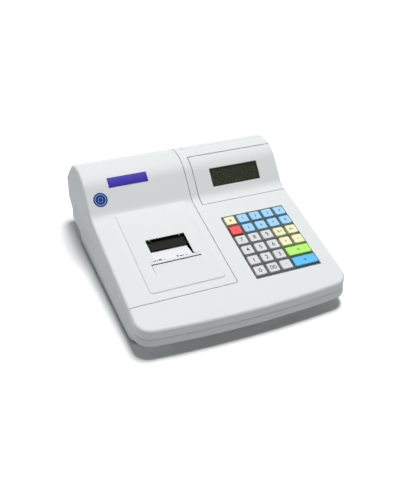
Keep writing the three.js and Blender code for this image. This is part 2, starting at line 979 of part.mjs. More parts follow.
// Cover posts stand in the tray and end just under the top cover
const postPlaces = [
  [boardX1 - postRadius, bellyPlan.front + 2 * postRadius],
  [boardX0 + postRadius, bellyPlan.front + 2 * postRadius],
];

function coverPosts() {
  return postPlaces.map(([x, y]) => {
    const top = heightOn(profile(wall + fit), y - postRadius);
    return rodZ(postRadius, x, y, floorTop - wall / 2, top, boreSteps);
  });
}

// Openings and rims in the tray's back wall
const backInside = rearY - traySideFlare - wall;

function rockerRoom() {
  const halfX = rockerWidth / 2 + fit;
  const halfZ = rockerHeight / 2 + 2 * fit;
  return block(
    rockerX - halfX,
    rockerX + halfX,
    backInside - rockerDepth,
    rearY + overrun,
    rearFittingHeight - halfZ,
    rearFittingHeight + halfZ,
  );
}

function rockerCup() {
  const halfX = rockerWidth / 2 + rockerRim;
  const halfZ = rockerHeight / 2 + rockerRim;
  return block(
    rockerX - halfX,
    rockerX + halfX,
    backInside - rockerDepth - rockerRim,
    backInside + wall / 2,
    rearFittingHeight - halfZ,
    rearFittingHeight + halfZ,
  );
}

function socketRoom(x, width, height) {
  return block(
    x - width / 2 - fit,
    x + width / 2 + fit,
    backInside - overrun,
    rearY + overrun,
    rearFittingHeight - height / 2 - fit,
    rearFittingHeight + height / 2 + fit,
  );
}

const trayBody = joined(
  trayShell(),
  trayLip(),
  ...lugPlaces.map(hingeLug),
  rollCradle(),
  ...printerRails(),
  ...batteryRails(),
  ...standoffs(),
  ...coverPosts(),
  rockerCup(),
);
const pinBore = rodX(pinRadius + fit, -farSide, farSide, hingeY, hingeZ, boreSteps);
place(
  "base_tray",
  cut(
    trayBody,
    pinBore,
    rockerRoom(),
    socketRoom(dcX, dcSize, dcSize),
    socketRoom(interfaceX, interfaceWidth, interfaceHeight),
  ),
  caseGrey,
);

// Feet
const footPlaces = {
  foot_front_left: [-halfWidth + footFromSide, frontY + footFromFront],
  foot_front_right: [halfWidth - footFromSide, frontY + footFromFront],
  foot_rear_left: [-halfWidth + footFromSide, rearY - footFromRear],
  foot_rear_right: [halfWidth - footFromSide, rearY - footFromRear],
};
for (const [name, [x, y]] of Object.entries(footPlaces)) {
  place(name, rodZ(footRadius, x, y, 0, footHeight), rubber);
}

// Top cover: right half and front strip, with ledges that carry the lid's edges
function bayWalls() {
  const x0 = lidRightEdge + seamGap;
  const inside = profile(wall - fit);
  const wallStart = lidFrontY;
  const wallEnd = hingeY - 2 * barrelRadius;
  const edge = [
    [wallStart, heightOn(inside, wallStart)],
    ...inside.filter(([y]) => y > wallStart && y < wallEnd),
    [wallEnd, heightOn(inside, wallEnd)],
  ];
  const lowEdge = seamRearHeight + lipHeight + fit;
  const side = sidePrism(
    [[wallStart, bayWallBottom], [wallEnd - overrun, bayWallBottom], [wallEnd, lowEdge], ...edge.reverse()],
    x0,
    x0 + wall,
  );
  const frontWall = sidePrism(
    [
      [lidFrontY - seamGap - wall, bayWallBottom],
      [lidFrontY - seamGap, bayWallBottom],
      [lidFrontY - seamGap, heightOn(inside, lidFrontY - seamGap)],
      [lidFrontY - seamGap - wall, heightOn(inside, lidFrontY - seamGap - wall)],
    ],
    -coverHalfWidth + wall + 2 * lipThickness,
    x0 + wall,
  );
  return joined(side, frontWall);
}

function lidLedges() {
  const outer = wall + fit;
  const inner = outer + ledgeThickness;
  const x1 = lidRightEdge + seamGap + wall / 2;
  const side = profileSlab(
    lidFrontY - seamGap - wall / 2,
    hingeY - 2 * barrelRadius,
    outer,
    inner,
    lidRightEdge - ledgeReach,
    x1,
  );
  const front = profileSlab(
    lidFrontY - seamGap - wall / 2,
    lidFrontY + ledgeReach,
    outer,
    inner,
    -coverHalfWidth + wall + 2 * lipThickness,
    x1,
  );
  return joined(side, front);
}

const keypadWell = deckPrism(
  roundedRectangle(
    keypadCentreX - wellHalfX,
    keypadCentreX + wellHalfX,
    keypadCentreV - wellHalfV,
    keypadCentreV + wellHalfV,
    keyCorner,
  ),
  -wall - overrun / 3,
  overrun,
);
place(
  "top_cover",
  joined(
    cut(
      upperShell,
      lidRegion(0),
      insertRegion(frontInsertStart, frontInsertEnd, 0),
      insertRegion(rearInsertStart, rearInsertEnd, 0),
      keypadWell,
    ),
    bayWalls(),
    lidLedges(),
  ),
  caseGrey,
);

// Display inserts
place(
  "display_bezel",
  cut(
    upperShell.intersect(insertRegion(frontInsertStart, frontInsertEnd, seamGap)),
    windowCutter(frontFace, displayHeight),
  ),
  caseGrey,
);
place(
  "rear_display_cover",
  cut(
    upperShell.intersect(insertRegion(rearInsertStart, rearInsertEnd, seamGap)),
    windowCutter(rearFace, customerHeight),
  ),
  caseGrey,
);
addDisplay(frontFace, displayHeight, "display_lens", "operator_lcd");
addDisplay(rearFace, customerHeight, "customer_lens", "customer_lcd");

// Printer lid, with a raised pad whose edges run out softly
function lidPad() {
  const rearV = (crownY - crownRadius) / Math.cos(deckSlope);
  const ring = (run, w) =>
    roundedRectangle(
      printerX - padWidth / 2 - run,
      printerX + padWidth / 2 + run,
      padFrontV - run,
      rearV + run,
      padCornerRadius + run,
    ).map(([x, v]) => [x, ...deckPoint(v, w)]);
  const levels = [ring(padEdgeRun, -wall / 2)];
  for (let k = 0; k <= padEdgeSteps; k += 1) {
    const share = k / padEdgeSteps;
    const rise = padRise * share ** 2 * (3 - 2 * share);
    levels.push(ring(padEdgeRun * (1 - share), rise));
  }
  return ringSolid(levels);
}

function tearRamp() {
  const x0 = printerX - rampWidth / 2;
  return sidePrism(
    [
      deckPoint(tearEdgeV - rampLength, 0),
      deckPoint(tearEdgeV - tearSlot, 0),
      deckPoint(tearEdgeV - tearSlot, padRise + rampRise),
      deckPoint(tearEdgeV - rampLength, padRise),
    ],
    x0,
    x0 + rampWidth,
  );
}

function barSeat() {
  return deckBlock(
    printerX - rampWidth / 2,
    printerX + rampWidth / 2,
    tearEdgeV,
    windowFrontV + fit,
    padRise - tearBarThickness - fit,
    overrun,
  );
}

// The slot in front of the tear bar, which runs on past the ramp's right end
function tearSlotRoom() {
  const x1 = printerX + rampWidth / 2;
  return joined(
    deckBlock(x1 - rampWidth, x1, tearEdgeV - tearSlot, tearEdgeV + fit, -overrun, overrun),
    deckBlock(
      x1 - overrun,
      x1 + tearSlotEnd,
      tearEdgeV - tearSlotEndLength,
      tearEdgeV + fit,
      -overrun,
      overrun,
    ),
  );
}

function lidBarrel() {
  const x0 = -coverHalfWidth + wall + barrelEndMargin / 2;
  const x1 = lidRightEdge - wall - barrelEndMargin;
  const neck = block(
    x0,
    x1,
    hingeY,
    rearY - traySideFlare - wall / 2,
    hingeZ,
    hingeZ + 2 * barrelRadius,
  );
  const lugRoom = lugPlaces.map((x) =>
    block(
      x - lugWidth / 2 - seamGap,
      x + lugWidth / 2 + seamGap,
      hingeY - 2 * barrelRadius,
      rearY + overrun,
      0,
      hingeZ + barrelRadius + seamGap,
    ),
  );
  const round = rodX(barrelRadius, x0, x1, hingeY, hingeZ);
  return { solid: joined(round, neck), lugRoom };
}

const barrel = lidBarrel();
const lidSkin = cut(
  joined(upperShell.intersect(lidRegion(seamGap)), lidPad(), tearRamp()),
  barSeat(),
  tearSlotRoom(),
  deckBlock(
    printerX - windowWidth / 2,
    printerX + windowWidth / 2,
    tearEdgeV,
    windowRearV,
    -overrun,
    overrun,
  ),
  deckBlock(
    printerX - windowWidth / 2 - windowRelief,
    printerX + windowWidth / 2 + windowRelief,
    windowFrontV,
    windowRearV + windowRelief,
    -overrun,
    padRise - windowLip,
  ),
  deckBlock(
    rollX0 - paperSlotMargin,
    rollX1 + paperSlotMargin,
    tearEdgeV,
    tearEdgeV + paperSlotLength,
    -overrun,
    padRise - tearBarThickness - fit,
  ),
  block(-farSide, lidRightEdge, hingeY, rearY + overrun, 0, hingeZ + fit),
);
place(
  "printer_cover",
  cut(joined(lidSkin, barrel.solid), ...barrel.lugRoom, pinBore),
  caseGrey,
);
place(
  "lid_hinge_pin",
  rodX(
    pinRadius,
    -coverHalfWidth + wall + barrelEndMargin / 2,
    lidRightEdge - wall - barrelEndMargin,
    hingeY,
    hingeZ,
    boreSteps,
  ),
  steel,
);

// Tear bar, with a saw-toothed edge on the side of the window
function tearBar() {
  const halfX = rampWidth / 2 - fit;
  const teeth = Math.floor(windowWidth / toothPitch);
  const points = [[-halfX, tearEdgeV + fit], [halfX, tearEdgeV + fit], [halfX, windowFrontV]];
  for (let k = 0; k <= teeth; k += 1) {
    const x = windowWidth / 2 - (windowWidth * k) / teeth;
    points.push([x, windowFrontV - toothDepth]);
    if (k < teeth) points.push([x - windowWidth / 2 / teeth, windowFrontV]);
  }
  points.push([-halfX, windowFrontV]);
  return deckPrism(
    points.map(([x, v]) => [x + printerX, v]),
    padRise - tearBarThickness,
    padRise,
  );
}
place("tear_bar", tearBar(), caseGrey);

// Printer frame
function printerFrame() {
  const topAt = (y, w) => deckPoint(0, w)[1] + (y - deckPoint(0, w)[0]) * Math.tan(deckSlope);
  const plateTop = -frameTopBelowDeck;
  const sideOutline = [
    [frameY0, frameBaseHeight],
    [frameY1, frameBaseHeight],
    [frameY1, topAt(frameY1, plateTop)],
    [frameY0, topAt(frameY0, plateTop)],
  ];
  const sides = [frameX0, frameX1 - framePlate].map((x) =>
    sidePrism(sideOutline, x, x + framePlate),
  );
  const platenV = platenY / Math.cos(deckSlope);
  const top = deckBlock(
    frameX0,
    frameX1,
    platenV - frameTopFrontReach,
    (frameY1 - framePlate) / Math.cos(deckSlope),
    plateTop - frameTopThickness,
    plateTop,
  );
  const motorX = frameX1 + gearWidth + 2 * gearSideGap;
  const base = block(
    frameX0,
    motorX + motorPlate,
    frameY0,
    frameY1,
    frameBaseHeight,
    frameBaseHeight + frameBase,
  );
  const motorSide = block(
    motorX,
    motorX + motorPlate,
    motorY - motorRadius,
    frameY1,
    frameBaseHeight,
    motorZ + motorRadius,
  );
  const bearings = rodX(
    platenShaftRadius + fit,
    frameX0 - overrun,
    frameX1 + gearSideGap,
    platenY,
    platenHeight,
    boreSteps,
  );
  const shaftHole = rodX(
    2 * motorShaftRadius,
    motorX - gearSideGap,
    motorX + motorPlate + gearSideGap,
    motorY,
    motorZ,
    boreSteps,
  );
  return cut(joined(...sides, top, base, motorSide), bearings, shaftHole);
}

const gearDistance = (gearModule * (platenTeeth + pinionTeeth)) / 2;
const motorY = platenY + gearDistance * Math.cos(motorDirection);
const motorZ = platenHeight + gearDistance * Math.sin(motorDirection);
place("printer_frame", printerFrame(), black);

// Platen roller with its steel shaft
const gearX0 = frameX1 + gearSideGap;
const gearX1 = gearX0 + gearWidth;
place(
  "platen_roller",
  joined(
    rodX(platenRadius, rollX0 - framePlate / 2, rollX1 + framePlate / 2, platenY, platenHeight),
    rodX(platenShaftRadius, frameX0 - gearSideGap, gearX1 + fit, platenY, platenHeight, boreSteps),
  ),
  rubber,
);

// Straight-sided gear teeth, the first one centred on a given angle
function gear(teeth, y, z, phase, boreRadius) {
  const pitchRadius = (gearModule * teeth) / 2;
  const tipRadius = pitchRadius + 0.8 * gearModule;
  const rootRadius = pitchRadius - 1.15 * gearModule;
  const toothAngle = (2 * Math.PI) / teeth;
  const halfTip = toothAngle * (0.14 - gearBacklashShare / 4);
  const halfRoot = toothAngle * (0.32 - gearBacklashShare / 4);
  const points = [];
  for (let k = 0; k < teeth; k += 1) {
    const middle = phase + k * toothAngle;
    for (const [radius, offset] of [
      [rootRadius, -halfRoot],
      [tipRadius, -halfTip],
      [tipRadius, halfTip],
      [rootRadius, halfRoot],
    ]) {
      const angle = middle + offset;
      points.push([y + radius * Math.cos(angle), z + radius * Math.sin(angle)]);
    }
  }
  const disc = sidePrism(points, gearX0, gearX1);
  if (boreRadius === 0) return disc;
  return cut(disc, rodX(boreRadius, gearX0 - fit, gearX1 + fit, y, z, boreSteps));
}

place(
  "platen_gear",
  gear(platenTeeth, platenY, platenHeight, motorDirection, platenShaftRadius + fit),
  gearWhite,
);
const motorFace = gearX1 + gearSideGap + motorPlate + fit;
const pinionPhase = motorDirection + Math.PI + Math.PI / pinionTeeth;
place(
  "motor_pinion",
  joined(
    gear(pinionTeeth, motorY, motorZ, pinionPhase, 0),
    rodX(motorShaftRadius, gearX0, motorFace + motorBoreDepth - fit, motorY, motorZ, boreSteps),
  ),
  gearWhite,
);
place(
  "stepper_motor",
  cut(
    rodX(motorRadius, motorFace, motorFace + motorLength, motorY, motorZ),
    rodX(
      motorShaftRadius + fit,
      motorFace - overrun,
      motorFace + motorBoreDepth,
      motorY,
      motorZ,
      boreSteps,
    ),
  ),
  steel,
);

// Thermal head over the platen, under the frame's top plate
const headBase = platenHeight + platenRadius + headLift;
const headCeiling = (y) =>
  deckPoint(0, -frameTopBelowDeck - frameTopThickness - fit)[1] + y * Math.tan(deckSlope);
place(
  "thermal_head",
  sidePrism(
    [
      [platenY - headFrontReach, headBase],
      [platenY + headRearReach, headBase],
      [platenY + headRearReach, headCeiling(platenY + headRearReach)],
      [platenY - headFrontReach, headCeiling(platenY - headFrontReach)],
    ],
    rollX0 - framePlate / 2,
    rollX1 + framePlate / 2,
  ),
  steel,
);

// Paper roll on its cradle
place(
  "paper_roll",
  cut(
    rodX(rollRadius, rollX0, rollX1, rollY, rollHeight, 32),
    rodX(rollCoreRadius, rollX0 - overrun, rollX0 + rollCoreDepth, rollY, rollHeight, boreSteps),
    rodX(rollCoreRadius, rollX1 - rollCoreDepth, rollX1 + overrun, rollY, rollHeight, boreSteps),
  ),
  paperWhite,
);

// Paper from under the roll, over the platen and under the tear bar
function paperStrip() {
  const lift = fit + paperThickness / 2;
  const platenReach = platenRadius + lift;
  const rollReach = rollRadius + lift;
  const cross = Math.asin((platenReach + rollReach) / rollBehindPlaten);
  const endW = padRise - tearBarThickness - fit - paperThickness / 2;
  const [endY, endZ] = deckPoint(tearEdgeV + tearBarLength / 2, endW);
  const toEnd = Math.atan2(endZ - platenHeight, endY - platenY);
  const distance = Math.hypot(endZ - platenHeight, endY - platenY);
  const leaveAngle = toEnd - Math.acos(platenReach / distance);
  const meetAngle = Math.PI / 2 - cross;
  const centre = [[endY, endZ]];
  for (let k = 0; k <= 3; k += 1) {
    const angle = leaveAngle + ((meetAngle - leaveAngle) * k) / 3;
    centre.push([platenY + platenReach * Math.cos(angle), platenHeight + platenReach * Math.sin(angle)]);
  }
  const rollAngle = (3 * Math.PI) / 2 - cross;
  centre.push([rollY + rollReach * Math.cos(rollAngle), rollHeight + rollReach * Math.sin(rollAngle)]);
  const side = (sign) =>
    centre.map(([y, z], i) => {
      const [ya, za] = centre[Math.max(i - 1, 0)];
      const [yb, zb] = centre[Math.min(i + 1, centre.length - 1)];
      const length = Math.hypot(yb - ya, zb - za);
      const shift = (sign * paperThickness) / 2 / length;
      return [y - (zb - za) * shift, z + (yb - ya) * shift];
    });
  return sidePrism([...side(-1), ...side(1).reverse()], rollX0, rollX1);
}
place("receipt_paper", paperStrip(), paperWhite);

// Keypad, built square in its own frame and turned to the deck
function square(half, w0, w1) {
  return block(-half, half, -half, half, w0, w1);
}

const keyList = [
  ["key_yellow_1", keyYellow, 0, 0, 1],
  ["key_light_blue_1", keyLightBlue, 0, 1, 1],
  ["key_light_blue_2", keyLightBlue, 0, 2, 1],
  ["key_light_blue_3", keyLightBlue, 0, 3, 1],
  ["key_light_blue_4", keyLightBlue, 0, 4, 1],
  ["key_red", keyRed, 1, 0, 1],
  ["key_light_blue_5", keyLightBlue, 1, 1, 1],
  ["key_light_blue_6", keyLightBlue, 1, 2, 1],
  ["key_light_blue_7", keyLightBlue, 1, 3, 1],
  ["key_light_blue_8", keyLightBlue, 1, 4, 1],
  ["key_7", keyWhite, 2, 0, 1],
  ["key_8", keyWhite, 2, 1, 1],
  ["key_9", keyWhite, 2, 2, 1],
  ["key_yellow_2", keyYellow, 2, 3, 1],
  ["key_yellow_3", keyYellow, 2, 4, 1],
  ["key_4", keyWhite, 3, 0, 1],
  ["key_5", keyWhite, 3, 1, 1],
  ["key_6", keyWhite, 3, 2, 1],
  ["key_yellow_4", keyYellow, 3, 3, 1],
  ["key_yellow_5", keyYellow, 3, 4, 1],
  ["key_1", keyWhite, 4, 0, 1],
  ["key_2", keyWhite, 4, 1, 1],
  ["key_3", keyWhite, 4, 2, 1],
  ["key_green_wide", keyGreen, 4, 3, 2],
  ["key_0", keyWhite, 5, 0, 1],
  ["key_00", keyWhite, 5, 1, 1],
  ["key_point", keyWhite, 5, 2, 1],
  ["key_blue_wide", keyBlue, 5, 3, 2],
];

function keyCentre(row, column, span) {
  return [
    (column + (span - 1) / 2 - (keyColumns - 1) / 2) * keyPitch,
    ((keyRows - 1) / 2 - row) * keyPitch,
  ];
}

// A cap that narrows to its top, as rings of eight corners
function keyCap(extraX) {
  const flangeTop = -bezelRecess - bezelPlate - fit;
  const rings = [
    [keyBase / 2 + keyFlange, flangeTop - keyFlangeThickness],
    [keyBase / 2 + keyFlange, flangeTop],
    [keyBase / 2, flangeTop],
    [keyBase / 2, -bezelRecess],
    [keyTop / 2, keyProud],
  ];
  const corners = (half, w) => {
    const x = half + extraX;
    const c = keyCorner;
    return [
      [x, half - c],
      [x - c, half],
      [-x + c, half],
      [-x, half - c],
      [-x, -half + c],
      [-x + c, -half],
      [x - c, -half],
      [x, -half + c],
    ].map(([u, v]) => [u, v, w]);
  };
  return ringSolid(rings.map(([half, w]) => corners(half, w)));
}

function keypadBezel() {
  const outerX = wellHalfX - fit;
  const outerV = wellHalfV - fit;
  const top = -bezelRecess;
  const bottom = top - bezelPlate;
  const plate = planPrism(
    roundedRectangle(-outerX, outerX, -outerV, outerV, keyCorner),
    bottom,
    top,
  );
  const flangeTop = -wall - fit;
  const skirt = block(
    -outerX - bezelFlange,
    outerX + bezelFlange,
    -outerV - bezelFlange,
    outerV + bezelFlange,
    flangeTop - bezelSkirt,
    flangeTop,
  );
  const rim = block(-outerX, outerX, -outerV, outerV, flangeTop - bezelSkirt, bottom + fit);
  const room = block(
    -outerX + bezelRim,
    outerX - bezelRim,
    -outerV + bezelRim,
    outerV - bezelRim,
    flangeTop - overrun,
    bottom + 2 * fit,
  );
  const frame = joined(plate, cut(joined(skirt, rim), room));
  const holes = keyList.map(([, , row, column, span]) => {
    const [x, v] = keyCentre(row, column, span);
    const half = keyBase / 2 + keyApertureGap;
    const extra = ((span - 1) * keyPitch) / 2;
    return block(x - half - extra, x + half + extra, v - half, v + half, bottom - overrun, top + overrun);
  });
  return cut(frame, ...holes);
}

place("keypad_bezel", keypadBezel(), darkGrey, keypadFrame);
for (const [name, material, row, column, span] of keyList) {
  const [x, v] = keyCentre(row, column, span);
  const mesh = place(name, keyCap(((span - 1) * keyPitch) / 2), material, keypadFrame);
  mesh.position.set(x, v, 0);
}
const matTop = -wall - fit - bezelSkirt - fit;
const matX = wellHalfX + bezelFlange - fit;
const matV = wellHalfV + bezelFlange - fit;
place(
  "keypad_mat",
  block(-matX, matX, -matV, matV, matTop - matThickness, matTop),
  rubber,
  keypadFrame,
);
const keyBoardTop = matTop - matThickness - fit;
place(
  "keypad_board",
  block(-matX, matX, -matV, matV, keyBoardTop - boardThickness, keyBoardTop),
  boardGreen,
  keypadFrame,
);

// Main board with its larger parts
const boardTop = mainBoardHeight + boardThickness;
const partY = boardY0 + 2 * standoffInset;
const tallParts = [
  [boardX1 - partWidth - standoffInset, partY, partWidth, partWidth, partHeight],
  [boardX0 + standoffInset, partY, partWidth / 2, 2 * partWidth, partHeight / 2],
  [boardX0 + partWidth, boardY1 - 2 * partWidth, 2 * partWidth, partWidth / 2, partHeight / 2],
];
const memoryY = partY + partWidth + memoryBehindPart;
place(
  "main_board",
  joined(
    block(boardX0, boardX1, boardY0, boardY1, mainBoardHeight, boardTop),
    ...tallParts.map(([x, y, width, length, height]) =>
      block(x, x + width, y, y + length, boardTop - fit, boardTop + height),
    ),
  ),
  boardGreen,
);
place(
  "memory_module",
  block(
    boardX1 - memoryInset - memoryWidth,
    boardX1 - memoryInset,
    memoryY,
    memoryY + memoryLength,
    boardTop + fit,
    boardTop + fit + memoryHeight,
  ),
  black,
);

// Battery pack: a row of cells
const cells = [];
for (let i = 0; i < cellCount; i += 1) {
  const x = batteryX0 + cellRadius + i * cellPitch;
  cells.push(rodY(cellRadius, x, batteryY0, batteryY1, floorTop + fit + cellRadius, boreSteps));
}
place("battery_pack", joined(...cells), cellBlue);

// Power rocker, with its lower end pressed in
function rocker() {
  const half = rockerHeight / 2;
  const outline = [
    [0, -half],
    [rockerCrown, -half],
    [0, 0],
    [rockerCrown, half],
    [0, half],
    [-rockerDepth / 2, half / 2],
    [-rockerDepth / 2, -half / 2],
  ];
  return sidePrism(outline, -rockerWidth / 2, rockerWidth / 2);
}
const rockerMesh = place("power_rocker", rocker(), black);
rockerMesh.position.set(rockerX, backInside + wall / 2 - rockerCrown, rearFittingHeight);
rockerMesh.rotation.x = -rockerTilt;

// Sockets in the back wall
function socket(x, width, height, depth) {
  const face = backInside + wall - fit;
  const body = block(
    x - width / 2,
    x + width / 2,
    face - depth,
    face,
    rearFittingHeight - height / 2,
    rearFittingHeight + height / 2,
  );
  const flange = block(
    x - width / 2 - socketFlange,
    x + width / 2 + socketFlange,
    backInside - fit - socketFlange,
    backInside - fit,
    rearFittingHeight - height / 2 - socketFlange,
    rearFittingHeight + height / 2 + socketFlange,
  );
  return { solid: joined(body, flange), face };
}

const dcSocket = socket(dcX, dcSize, dcSize, dcDepth);
place(
  "dc_socket",
  joined(
    cut(
      dcSocket.solid,
      rodY(dcBoreRadius, dcX, dcSocket.face - socketRecess, rearY + overrun, rearFittingHeight),
    ),
    rodY(
      dcPinRadius,
      dcX,
      dcSocket.face - socketRecess - fit,
      dcSocket.face - fit,
      rearFittingHeight,
      boreSteps,
    ),
  ),
  black,
);
const interfaceSocket = socket(interfaceX, interfaceWidth, interfaceHeight, interfaceDepth);
const socketWall = socketFlange / 2;
place(
  "interface_socket",
  cut(
    interfaceSocket.solid,
    block(
      interfaceX - interfaceWidth / 2 + 2 * socketWall,
      interfaceX + interfaceWidth / 2 - 2 * socketWall,
      interfaceSocket.face - socketRecess,
      rearY + overrun,
      rearFittingHeight - interfaceHeight / 2 + 2 * socketWall,
      rearFittingHeight + interfaceHeight / 2 - 2 * socketWall,
    ),
  ),
  black,
);

export default register;
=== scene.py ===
import json
from math import cos, pi, radians, sin

import bpy
from mathutils import Matrix, Vector

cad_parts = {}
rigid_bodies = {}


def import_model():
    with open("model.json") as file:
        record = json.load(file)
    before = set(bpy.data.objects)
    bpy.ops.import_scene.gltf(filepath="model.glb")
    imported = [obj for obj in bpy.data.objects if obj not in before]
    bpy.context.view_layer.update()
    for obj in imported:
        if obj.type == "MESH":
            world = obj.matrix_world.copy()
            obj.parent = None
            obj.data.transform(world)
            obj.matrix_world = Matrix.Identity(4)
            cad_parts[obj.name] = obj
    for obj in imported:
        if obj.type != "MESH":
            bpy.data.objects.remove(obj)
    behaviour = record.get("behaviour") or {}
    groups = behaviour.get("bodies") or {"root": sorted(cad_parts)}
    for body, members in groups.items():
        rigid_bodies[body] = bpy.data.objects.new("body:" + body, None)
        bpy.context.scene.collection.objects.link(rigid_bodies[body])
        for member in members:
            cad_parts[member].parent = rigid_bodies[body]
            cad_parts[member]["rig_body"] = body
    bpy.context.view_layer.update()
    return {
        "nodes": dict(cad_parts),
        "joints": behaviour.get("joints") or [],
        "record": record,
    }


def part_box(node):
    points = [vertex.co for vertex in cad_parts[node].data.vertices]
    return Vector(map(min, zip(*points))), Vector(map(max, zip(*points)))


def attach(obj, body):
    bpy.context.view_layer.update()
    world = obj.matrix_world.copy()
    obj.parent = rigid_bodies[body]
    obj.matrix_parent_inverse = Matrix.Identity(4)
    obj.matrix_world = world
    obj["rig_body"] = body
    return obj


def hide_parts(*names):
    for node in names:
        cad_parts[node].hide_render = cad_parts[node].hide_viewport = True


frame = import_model()

# Camera: it stands in front of the register and to its left, above the deck, at the
# photograph's viewing angle.
camera_place = (-0.32963, -0.71901, 0.59631)
camera_turn = (radians(53.8605), radians(-2.0929), radians(-23.181))
focal_length = 49.57
bpy.ops.object.camera_add(location=camera_place, rotation=camera_turn)
camera = bpy.context.object
camera.data.lens = focal_length
bpy.context.scene.camera = camera

# Studio light: one soft lamp overhead, a little to the right, so the shadow stays close
# under the body and shows most on its left.
lamp_place = Vector((0.32, 0.20, 3.40))
bpy.ops.object.light_add(type="AREA", location=lamp_place)
lamp = bpy.context.object
lamp.name = "soft_lamp"
lamp.rotation_euler = (-lamp_place).to_track_quat("-Z", "Y").to_euler()
lamp.data.size = 1.0
lamp.data.energy = 107
lamp.data.color = (1.0, 0.997, 0.99)


# Floor and room: plain, pale and matt. The floor shows as white where no shadow falls,
# also far from the lamp, where it glows, and throws less light back than it shows.
class Wire:
    """A shader socket that takes part in sums, each of which adds its Math node."""

    def __init__(self, web, socket):
        self.web = web
        self.socket = socket

    def maths(self, operation, *values):
        return self.web.node("Math", {"operation": operation}, *values)

    def __add__(self, other):
        return self.maths("ADD", self, other)

    def __sub__(self, other):
        return self.maths("SUBTRACT", self, other)

    def __rsub__(self, other):
        return self.maths("SUBTRACT", other, self)

    def __mul__(self, other):
        return self.maths("MULTIPLY", self, other)

    def __pow__(self, other):
        return self.maths("POWER", self, other)

    def __gt__(self, other):
        return self.maths("GREATER_THAN", self, other)

    def __lt__(self, other):
        return self.maths("LESS_THAN", self, other)

    __radd__ = __add__
    __rmul__ = __mul__


class Web:
    """The shader nodes of the room or of a finish, and the one way to add to them."""

    def __init__(self, tree):
        self.nodes = tree.nodes
        self.links = tree.links

    def put(self, socket, value):
        if isinstance(value, Wire):
            self.links.new(value.socket, socket)
        elif socket.type == "RGBA":
            socket.default_value = (*value, 1)
        else:
            socket.default_value = value

    def node(self, kind, settings=None, *values, output=0, numbered=None, **named):
        """A node of a kind, its settings first, then its sockets in order, by number or
        by name."""
        made = self.nodes.new("ShaderNode" + kind)
        for name, value in (settings or {}).items():
            setattr(made, name, value)
        for number, value in (*enumerate(values), *(numbered or {}).items()):
            self.put(made.inputs[number], value)
        for name, value in named.items():
            self.put(made.inputs[name.replace("_", " ")], value)
        return Wire(self, made.outputs[output])

    def clamped(self, operation, first, second):
        return self.node("Math", {"operation": operation, "use_clamp": True}, first, second)


class Finish(Web):
    """A material: its Principled shader, and what varies over the surface."""

    def __init__(self, name, **values):
        self.material = bpy.data.materials.new(name)
        self.material.use_nodes = True
        super().__init__(self.material.node_tree)
        self.shader = self.nodes["Principled BSDF"]
        for socket, value in values.items():
            self.set(socket.replace("_", " "), value)

    def set(self, socket, value):
        self.put(self.shader.inputs[socket], value)

    def place(self):
        return self.node("TexCoord", output="Object")

    def parts_of(self, vector):
        parted = self.node("SeparateXYZ", None, vector).socket.node
        return [Wire(self, axis) for axis in parted.outputs]

    def noise(self, scale, detail=2.0, stretch=None):
        where = self.place()
        if stretch:
            where = self.node("Mapping", None, where, Scale=stretch)
        return self.node("TexNoise", None, Vector=where, Scale=scale, Detail=detail)

    def bump(self, height, distance, strength=1.0):
        bumped = self.node("Bump", None, Strength=strength, Distance=distance, Height=height)
        self.set("Normal", bumped)

    def mix(self, share, first, second):
        colours = {6: first, 7: second}
        return self.node("Mix", {"data_type": "RGBA"}, share, output=2, numbered=colours)


floor_width = 12
floor_gap = 0.0002
floor_shown = (1.07, 1.07, 1.07)
floor_bounce = (0.84, 0.84, 0.84)
glow_start, glow_rise = 0.2, 0.8
floor_paint = Finish("floor_paint", Roughness=0.9, Specular_IOR_Level=0.0)
diffuse_ray = floor_paint.node("LightPath", output="Is Diffuse Ray")
x, y, _ = floor_paint.parts_of(floor_paint.place())
floor_paint.set("Base Color", floor_paint.mix(diffuse_ray, floor_shown, floor_bounce))
far = floor_paint.clamped("MULTIPLY", x ** 2 + y ** 2 - glow_start, glow_rise)
glow = far * (1 - diffuse_ray)
floor_paint.set("Emission Color", floor_paint.node("CombineColor", None, glow, glow, glow))
floor_paint.set("Emission Strength", 1.0)
bpy.ops.mesh.primitive_plane_add(size=floor_width, location=(0, 0, -floor_gap))
floor = bpy.context.object
floor.name = "floor"
floor.data.materials.append(floor_paint.material)

# The room shows as white to the camera and in gloss and glass. What it lights, it
# lights dimly, most of all from above and behind.
sky_tint = (0.88, 0.96, 1.0)
sky_rise = (-0.05, 0.12, 0.16)
sky_level = 0.03
room = bpy.data.worlds.new("pale_room")
bpy.context.scene.world = room
room.use_nodes = True
sky = Web(room.node_tree)
ahead = sky.node("TexCoord", output="Generated")
rise = sky.node("VectorMath", {"operation": "DOT_PRODUCT"}, ahead, sky_rise, output="Value")
dim = sky.nodes["Background"]
sky.put(dim.inputs["Color"], sky_tint)
sky.put(dim.inputs["Strength"], sky.clamped("ADD", rise, sky_level))
white = sky.node("Background", None, Color=(1, 1, 1), Strength=1.0)
seen = sky.node("LightPath", output="Is Camera Ray")
for kind in ("Is Glossy Ray", "Is Transmission Ray"):
    seen = seen.maths("MAXIMUM", seen, sky.node("LightPath", output=kind))
shown = sky.node("MixShader", None, seen, Wire(sky, dim.outputs[0]), white)
sky.put(sky.nodes["World Output"].inputs["Surface"], shown)
bpy.context.scene.view_settings.view_transform = "Standard"


# Base tray: a shallow moulding in cool light grey plastic with a fine spark-eroded
# grain. It stands on four feet and everything else is screwed or clipped to it.
def only(piece):
    bpy.ops.object.select_all(action="DESELECT")
    piece.select_set(True)
    bpy.context.view_layer.objects.active = piece


def apply(piece, kind, **settings):
    """Adds one modifier to a piece and applies it."""
    only(piece)
    made = piece.modifiers.new("step", kind)
    for name, value in settings.items():
        setattr(made, name, value)
    bpy.ops.object.modifier_apply(modifier=made.name)


